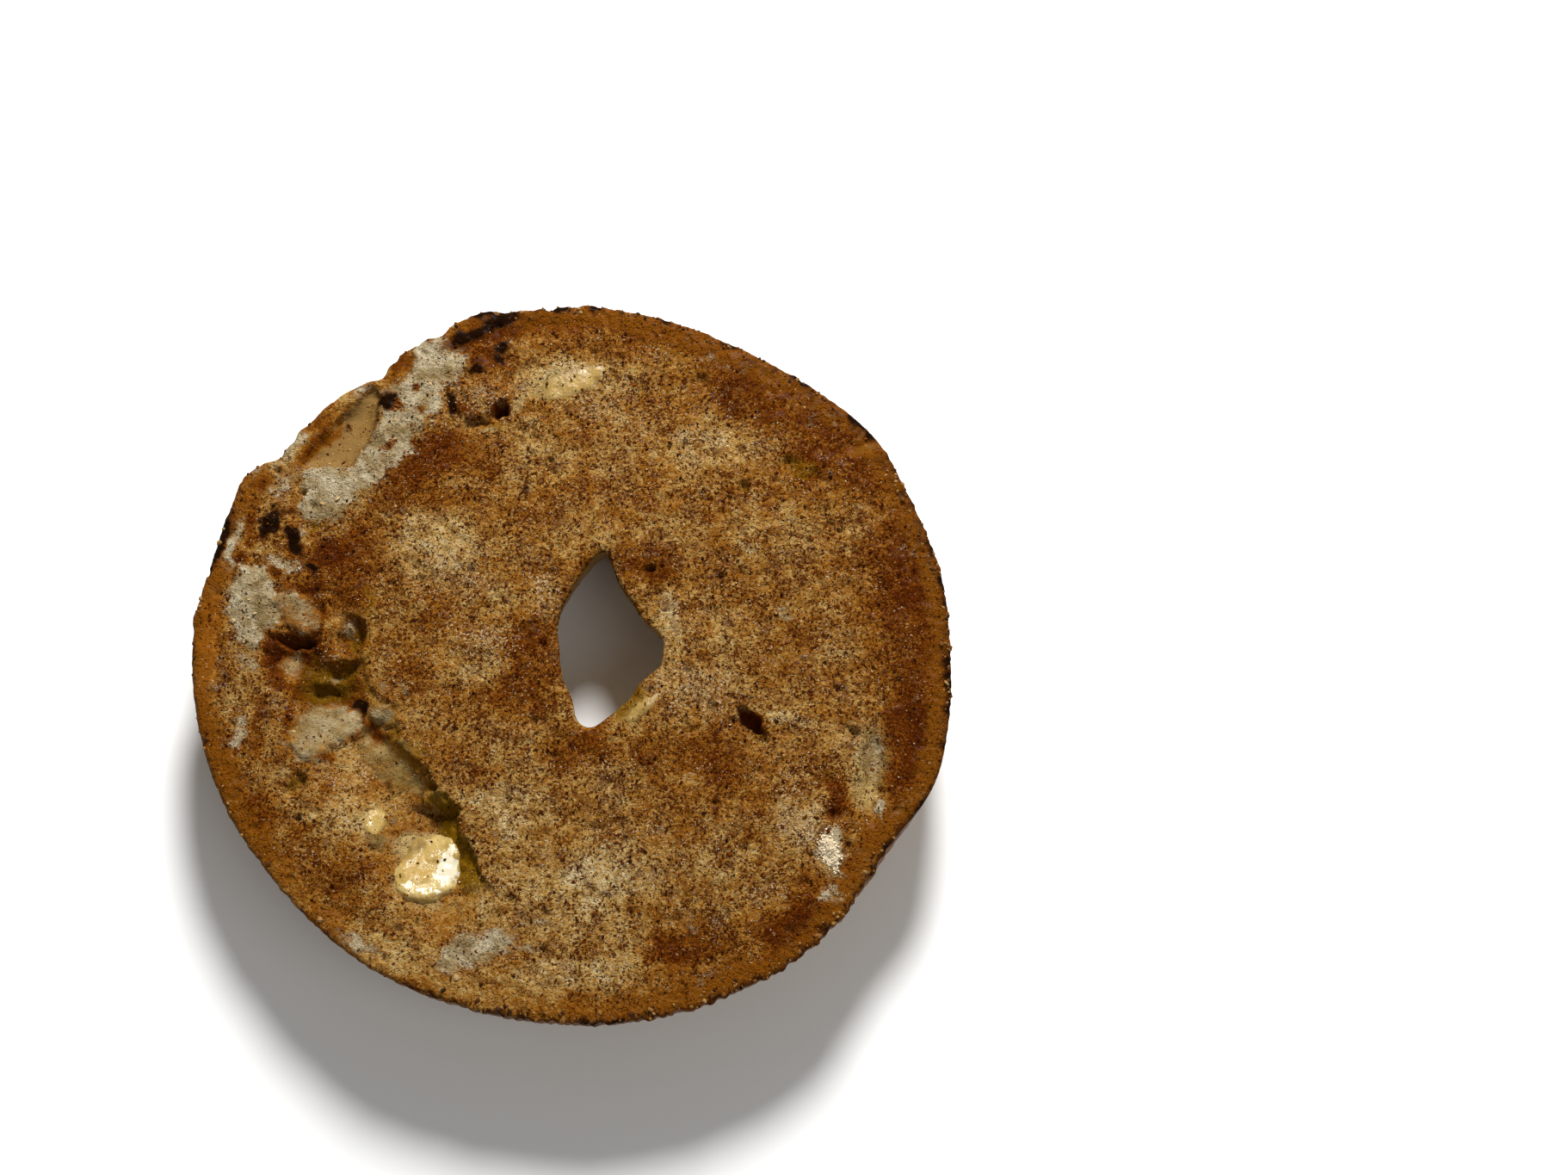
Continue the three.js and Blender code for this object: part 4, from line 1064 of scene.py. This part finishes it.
def butter_thickness(x, y, row):
    """How thick one lump of butter is at each point: 0 on its uneven outline and outside it."""
    node, length, width, turn, thickness, melted, seed = row
    low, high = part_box(node)
    middle = (low + high) / 2 / MM
    wx, wy = warped(x, y, 0.22 * width, 3.6, seed)
    wx, wy = warped(wx, wy, 0.35 * melted, 0.9, seed + 3)
    reach = place_in(wx, wy, (middle.x, middle.y, length, width, turn))
    dome = np.clip(1 - reach ** (3 - melted), 0, 1) ** 0.8
    p = flat(x, y)
    lumps = 1 + (0.16 + 0.25 * melted) * layered(p, 3.2, seed + 5, 3)
    # What is still firm is thicker towards +X and -Y.
    tilt = 0.9 * (1 - melted) * ((x - middle.x) - (y - middle.y)) / (2 * length)
    return thickness * dome * (lumps * (1 + tilt))


def top_height(x, y):
    """Height of the bread or of the butter that lies on it."""
    return cut_height(x, y) + sum(butter_thickness(x, y, row) for row in BUTTER)


def smooth_bread(x, y):
    """The bread's height without its finest crumb, which butter bridges."""
    step = 0.5
    return sum(cut_height(x + dx, y + dy) for dx in (-step, 0, step) for dy in (-step, 0, step)) / 9


def make_butter(row, material):
    node, length, width, turn, thickness, melted, seed = row
    low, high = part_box(node)
    middle = (low + high) / 2 / MM
    rings, spokes = 34, 120
    share = np.repeat(np.arange(1, rings + 1) / rings, spokes)
    angle = np.tile(np.arange(spokes) / spokes * 2 * math.pi, rings)
    c, s = math.cos(math.radians(turn)), math.sin(math.radians(turn))
    # The outline is where the thickness runs out, found by stepping out along each spoke.
    steps = np.linspace(0.05, 1.9, 60)
    ends = []
    for a in angle[:spokes]:
        u, v = steps * length * math.cos(a), steps * width * math.sin(a)
        thick = butter_thickness(middle.x + u * c - v * s, middle.y + u * s + v * c, row)
        ends.append(steps[np.argmax(np.append(thick, 0) <= 0)] if (thick <= 0).any() else steps[-1])
    ends = np.array(ends)
    ends = sum(np.roll(ends, k) for k in (-2, -1, 0, 1, 2)) / 5
    reach = np.append(0, share * np.tile(ends, rings))
    angle = np.append(0, angle)
    u, v = reach * length * np.cos(angle), reach * width * np.sin(angle)
    x, y = middle.x + u * c - v * s, middle.y + u * s + v * c
    ground = smooth_bread(x, y)
    rim = np.append(0, share) ** 6
    top = ground + butter_thickness(x, y, row) - rim * SUNK
    under = np.minimum(ground, cut_height(x, y)) - SUNK - 0.15 - 0.4 * (1 - rim) * thickness
    count = len(x)
    corners = np.concatenate([np.column_stack([x, y, top]), np.column_stack([x, y, under])])
    spoke = np.arange(spokes)
    after = (spoke + 1) % spokes
    faces = []
    for level in (0, 1):
        base = level * count
        fan = [np.full(spokes, base), base + 1 + spoke, base + 1 + after]
        tris = [np.column_stack(fan)]
        for ring in range(rings - 1):
            a, b = base + 1 + ring * spokes, base + 1 + (ring + 1) * spokes
            tris.append(np.column_stack([a + spoke, b + spoke, b + after]))
            tris.append(np.column_stack([a + spoke, b + after, a + after]))
        tris = np.concatenate(tris)
        faces.append(tris[:, ::-1] if level else tris)
    edge = 1 + (rings - 1) * spokes
    faces.append(np.column_stack([edge + spoke, count + edge + spoke, count + edge + after]))
    faces.append(np.column_stack([edge + spoke, count + edge + after, edge + after]))
    thin = 1 - smoothstep(0.3, 1.0, butter_thickness(x, y, row) / thickness)
    golden = dabs(x, y, GOLDEN, 0.8)
    kinds = {
        "melted": np.tile(np.clip(melted + (0.1 + 0.5 * melted) * thin + golden, 0, 1), 2),
        "painted_highlight": np.tile(dabs(x, y, HIGHLIGHT_SPOTS, 0.7), 2),
    }
    piece = make_mesh(node + "_melting", corners, np.concatenate(faces), kinds)
    piece.data.materials.append(material)
    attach(piece, "root")
    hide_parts(node)


# ---------------------------------------------------------------- grains

OCTAHEDRON = (
    np.array([(1, 0, 0), (-1, 0, 0), (0, 1, 0), (0, -1, 0), (0, 0, 1), (0, 0, -1)], float),
    np.array([(0, 2, 4), (2, 1, 4), (1, 3, 4), (3, 0, 4), (2, 0, 5), (1, 2, 5), (3, 1, 5), (0, 3, 5)]),
)
CUBOID = (
    np.array([(a, b, c) for c in (-1, 1) for b in (-1, 1) for a in (-1, 1)], float) * 0.75,
    np.array([(0, 2, 3, 1), (4, 5, 7, 6), (0, 1, 5, 4), (2, 6, 7, 3), (0, 4, 6, 2), (1, 3, 7, 5)]),
)


def icosahedron():
    golden = (1 + 5**0.5) / 2
    corners = [np.roll((0, a, b * golden), k) for k in range(3) for a in (1, -1) for b in (1, -1)]
    corners = np.array(corners) / math.hypot(1, golden)
    near = 1.06
    faces = []
    for i in range(12):
        for j in range(i + 1, 12):
            for k in range(j + 1, 12):
                sides = [corners[i] - corners[j], corners[j] - corners[k], corners[k] - corners[i]]
                if max(np.linalg.norm(side) for side in sides) < near:
                    out = np.dot(np.cross(corners[j] - corners[i], corners[k] - corners[i]), corners[i]) > 0
                    faces.append((i, j, k) if out else (i, k, j))
    return corners, np.array(faces)


def random_turns(rng, count):
    """That many random rotation matrices."""
    q = rng.normal(size=(count, 4))
    w, x, y, z = (q / np.linalg.norm(q, axis=1)[:, None]).T
    rows = [
        (1 - 2 * (y * y + z * z), 2 * (x * y - z * w), 2 * (x * z + y * w)),
        (2 * (x * y + z * w), 1 - 2 * (x * x + z * z), 2 * (y * z - x * w)),
        (2 * (x * z - y * w), 2 * (y * z + x * w), 1 - 2 * (x * x + y * y)),
    ]
    return np.array(rows).transpose(2, 0, 1)


def make_grains(name, solid, centres, sizes, tones, seed, jitter=0.2):
    """One piece of many small closed solids. sizes are the half lengths of each along its own axes."""
    rng = np.random.default_rng(seed)
    shape, faces = solid
    count = len(centres)
    local = shape[None] * sizes[:, None, :] * (1 + jitter * rng.uniform(-1, 1, (count, len(shape), 3)))
    corners = centres[:, None] + np.einsum("nij,nkj->nki", random_turns(rng, count), local)
    indices = faces[None] + (np.arange(count) * len(shape))[:, None, None]
    kinds = {"tone": np.repeat(tones, len(shape))}
    piece = make_mesh(name, corners.reshape(-1, 3), indices.reshape(-1, faces.shape[1]), kinds, smooth=False)
    add_grain_map(piece, count, faces)
    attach(piece, "root")
    return piece


def add_grain_map(piece, count, faces):
    """A map for the bake on which each grain has a small square of its own."""
    across = math.ceil(math.sqrt(count))
    side = 1 / across
    square = np.array([(0.2, 0.2), (0.8, 0.2), (0.8, 0.8), (0.2, 0.8)])[: faces.shape[1]] * side
    corner = np.column_stack([np.arange(count) % across, np.arange(count) // across]) * side
    uv = np.broadcast_to(corner[:, None, None] + square, (count, len(faces), faces.shape[1], 2))
    layer = piece.data.uv_layers.new(name="OFBake")
    layer.uv.foreach_set("vector", uv.astype(np.float32).ravel())


def scatter(rng, tries, chance):
    """Random places on the cut face, each kept with the chance that its place and kinds give it."""
    x, y = rng.uniform(-56, 56, (2, tries))
    inside = (from_rim(x, y) > 0.4) & (from_hole(x, y) > 0.5)
    x, y = x[inside], y[inside]
    kept = rng.uniform(size=len(x)) < chance(x, y, surface_kinds(x, y))
    return x[kept], y[kept]


def add_cinnamon():
    rng = np.random.default_rng(21)
    x, y = scatter(rng, 20000, lambda x, y, kinds: 1.1 * kinds["dust"] * (1 - kinds["pit_shade"]))
    sizes = rng.uniform(0.06, 0.16, (len(x), 3))
    sizes = sizes * rng.choice([0.8, 1.2, 2.1], (len(x), 1), p=[0.5, 0.36, 0.14])
    sizes[:, 0] *= rng.uniform(1, 1.9, len(x))
    z = top_height(x, y) + 0.25 * sizes[:, 2]
    tones = rng.uniform(size=len(x))
    piece = make_grains("cinnamon_grains", OCTAHEDRON, np.column_stack([x, y, z]), sizes, tones, 22)
    ramp = [(0.1, (0.026, 0.006, 0.0006)), (0.5, (0.075, 0.016, 0.001)), (1.0, (0.18, 0.05, 0.004))]
    piece.data.materials.append(grain_material("cinnamon", ramp, 0.7, 0.04))


def add_sugar():
    rng = np.random.default_rng(31)

    def chance(x, y, kinds):
        return 0.55 * kinds["sweet"] * (1 - kinds["pit_shade"]) * (1 - kinds["char"])

    x, y = scatter(rng, 15000, chance)
    sizes = rng.uniform(0.05, 0.13, (len(x), 3))
    z = top_height(x, y) + 0.15 * sizes[:, 2]
    tones = rng.uniform(size=len(x))
    piece = make_grains("sugar_grains", CUBOID, np.column_stack([x, y, z]), sizes, tones, 32)
    piece.data.materials.append(sugar_material("sugar_grains", (0.22, 0.12, 0.045), (0.56, 0.42, 0.25)))


def add_sugar_clump():
    """Damp sugar in a heap: crystals on and in each other."""
    rng = np.random.default_rng(41)
    low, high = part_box("sugar_clump")
    middle = (low + high) / 2 / MM
    spread = rng.normal(size=(1300, 2)) * (0.5, 0.95) + (-0.4, -0.5)
    x, y = middle.x + spread[:, 0] - 0.25 * spread[:, 1], middle.y + spread[:, 1]
    pile = 0.7 * np.exp(-(spread[:, 0] ** 2) / 1.4 - spread[:, 1] ** 2 / 3.6)
    z = cut_height(x, y) + pile * rng.uniform(0, 1, len(x))
    sizes = rng.uniform(0.08, 0.17, (len(x), 3))
    tones = rng.uniform(0.3, 1, len(x))
    piece = make_grains("sugar_clump_crystals", CUBOID, np.column_stack([x, y, z]), sizes, tones, 42)
    piece.data.materials.append(sugar_material("sugar_clump", (0.52, 0.38, 0.2), (0.86, 0.74, 0.54)))
    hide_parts("sugar_clump")


def add_crumbs():
    """Burnt crumbs along the toasted rim and torn crumb on the rough part of the cut."""
    rng = np.random.default_rng(51)
    turn = rng.uniform(0, 2 * math.pi, 900)
    ragged = np.zeros(len(turn))
    for middle, reach, height in RAGGED:
        away = degrees_from(np.degrees(turn), middle)
        ragged = np.maximum(ragged, 2 * height * smoothstep(reach, reach * 0.5, away))
    turn = turn[rng.uniform(size=len(turn)) < ragged]
    radius = rim_radius(turn) - 0.1 - rng.uniform(0, 1.2, len(turn)) ** 1.5
    rim_x, rim_y = radius * np.cos(turn), radius * np.sin(turn)
    rim_tone = rng.uniform(0.15, 0.8, len(turn))

    def chance(x, y, kinds):
        return 0.25 * dabs(x, y, CRAGGY) * (1 - kinds["skin"])

    x, y = scatter(rng, 16000, chance)
    kinds = surface_kinds(x, y)
    tone = np.clip(1.05 - 0.9 * kinds["toast"] + 0.3 * kinds["pale"] - 0.8 * kinds["char"], 0.02, 1)
    tone = tone + rng.uniform(-0.15, 0.15, len(x))
    x, y, tone = np.append(rim_x, x), np.append(rim_y, y), np.append(rim_tone, tone)
    sizes = rng.uniform(0.14, 0.34, (len(x), 3))
    sizes = sizes * rng.choice([0.8, 1.2, 1.6], (len(x), 1), p=[0.6, 0.3, 0.1])
    z = cut_height(x, y) - 0.05
    piece = make_grains("bread_crumbs", icosahedron(), np.column_stack([x, y, z]), sizes, tone, 52, 0.3)
    ramp = [
        (0.0, (0.006, 0.004, 0.003)), (0.25, (0.035, 0.012, 0.003)), (0.5, (0.14, 0.05, 0.008)),
        (0.75, (0.26, 0.135, 0.035)), (1.0, (0.42, 0.3, 0.15)),
    ]
    piece.data.materials.append(grain_material("bread_crumbs", ramp, 0.7, 0.1))


# ---------------------------------------------------------------- the pieces

bread = make_bread()
bread.data.materials.append(bread_material())
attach(bread, "root")
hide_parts(BREAD)
butter = butter_material()
for row in BUTTER:
    make_butter(row, butter)
add_cinnamon()
add_sugar()
add_sugar_clump()
add_crumbs()


# ---------------------------------------------------------------- floor, light and camera

FLOOR_REACH = 3.0  # metres from the middle to each side
CAMERA_PLACE = (0.030697, -0.078483, 0.325052)  # metres
CAMERA_TILT = 16  # degrees away from looking straight down


def add_floor():
    reach = FLOOR_REACH
    corners = np.array([(-reach, -reach, 0), (reach, -reach, 0), (reach, reach, 0), (-reach, reach, 0)]) / MM
    floor = make_mesh("floor", corners, [(0, 1, 2, 3)], smooth=False)
    n = Nodes("pale_floor")
    n.link((0.86, 0.86, 0.85, 1.0), n.shader.inputs["Base Color"])
    n.link(0.6, n.shader.inputs["Roughness"])
    floor.data.materials.append(n.material)


def add_light(name, place, size, power, target=(0, 0, 0.01)):
    lamp = bpy.data.lights.new(name, "AREA")
    lamp.shape = "DISK"
    lamp.size = size
    lamp.energy = power
    holder = bpy.data.objects.new(name, lamp)
    holder.location = place
    holder.rotation_euler = (Vector(target) - Vector(place)).to_track_quat("-Z", "Y").to_euler()
    bpy.context.scene.collection.objects.link(holder)


def add_camera():
    camera = bpy.data.cameras.new("camera")
    camera.lens = 50
    camera.sensor_width = 36
    holder = bpy.data.objects.new("camera", camera)
    holder.location = CAMERA_PLACE
    holder.rotation_euler = (math.radians(CAMERA_TILT), 0, 0)
    bpy.context.scene.collection.objects.link(holder)
    bpy.context.scene.camera = holder


add_floor()
add_camera()
add_light("key", (0.07, 0.38, 0.41), 0.14, 5.3)
add_light("fill", (0.35, -0.3, 0.55), 0.5, 1.0)
world = bpy.data.worlds.new("studio")
world.use_nodes = True
world.node_tree.nodes["Background"].inputs["Color"].default_value = (1.0, 0.985, 0.96, 1)
world.node_tree.nodes["Background"].inputs["Strength"].default_value = 0.21
bpy.context.scene.world = world
bpy.context.scene.view_settings.view_transform = "Standard"
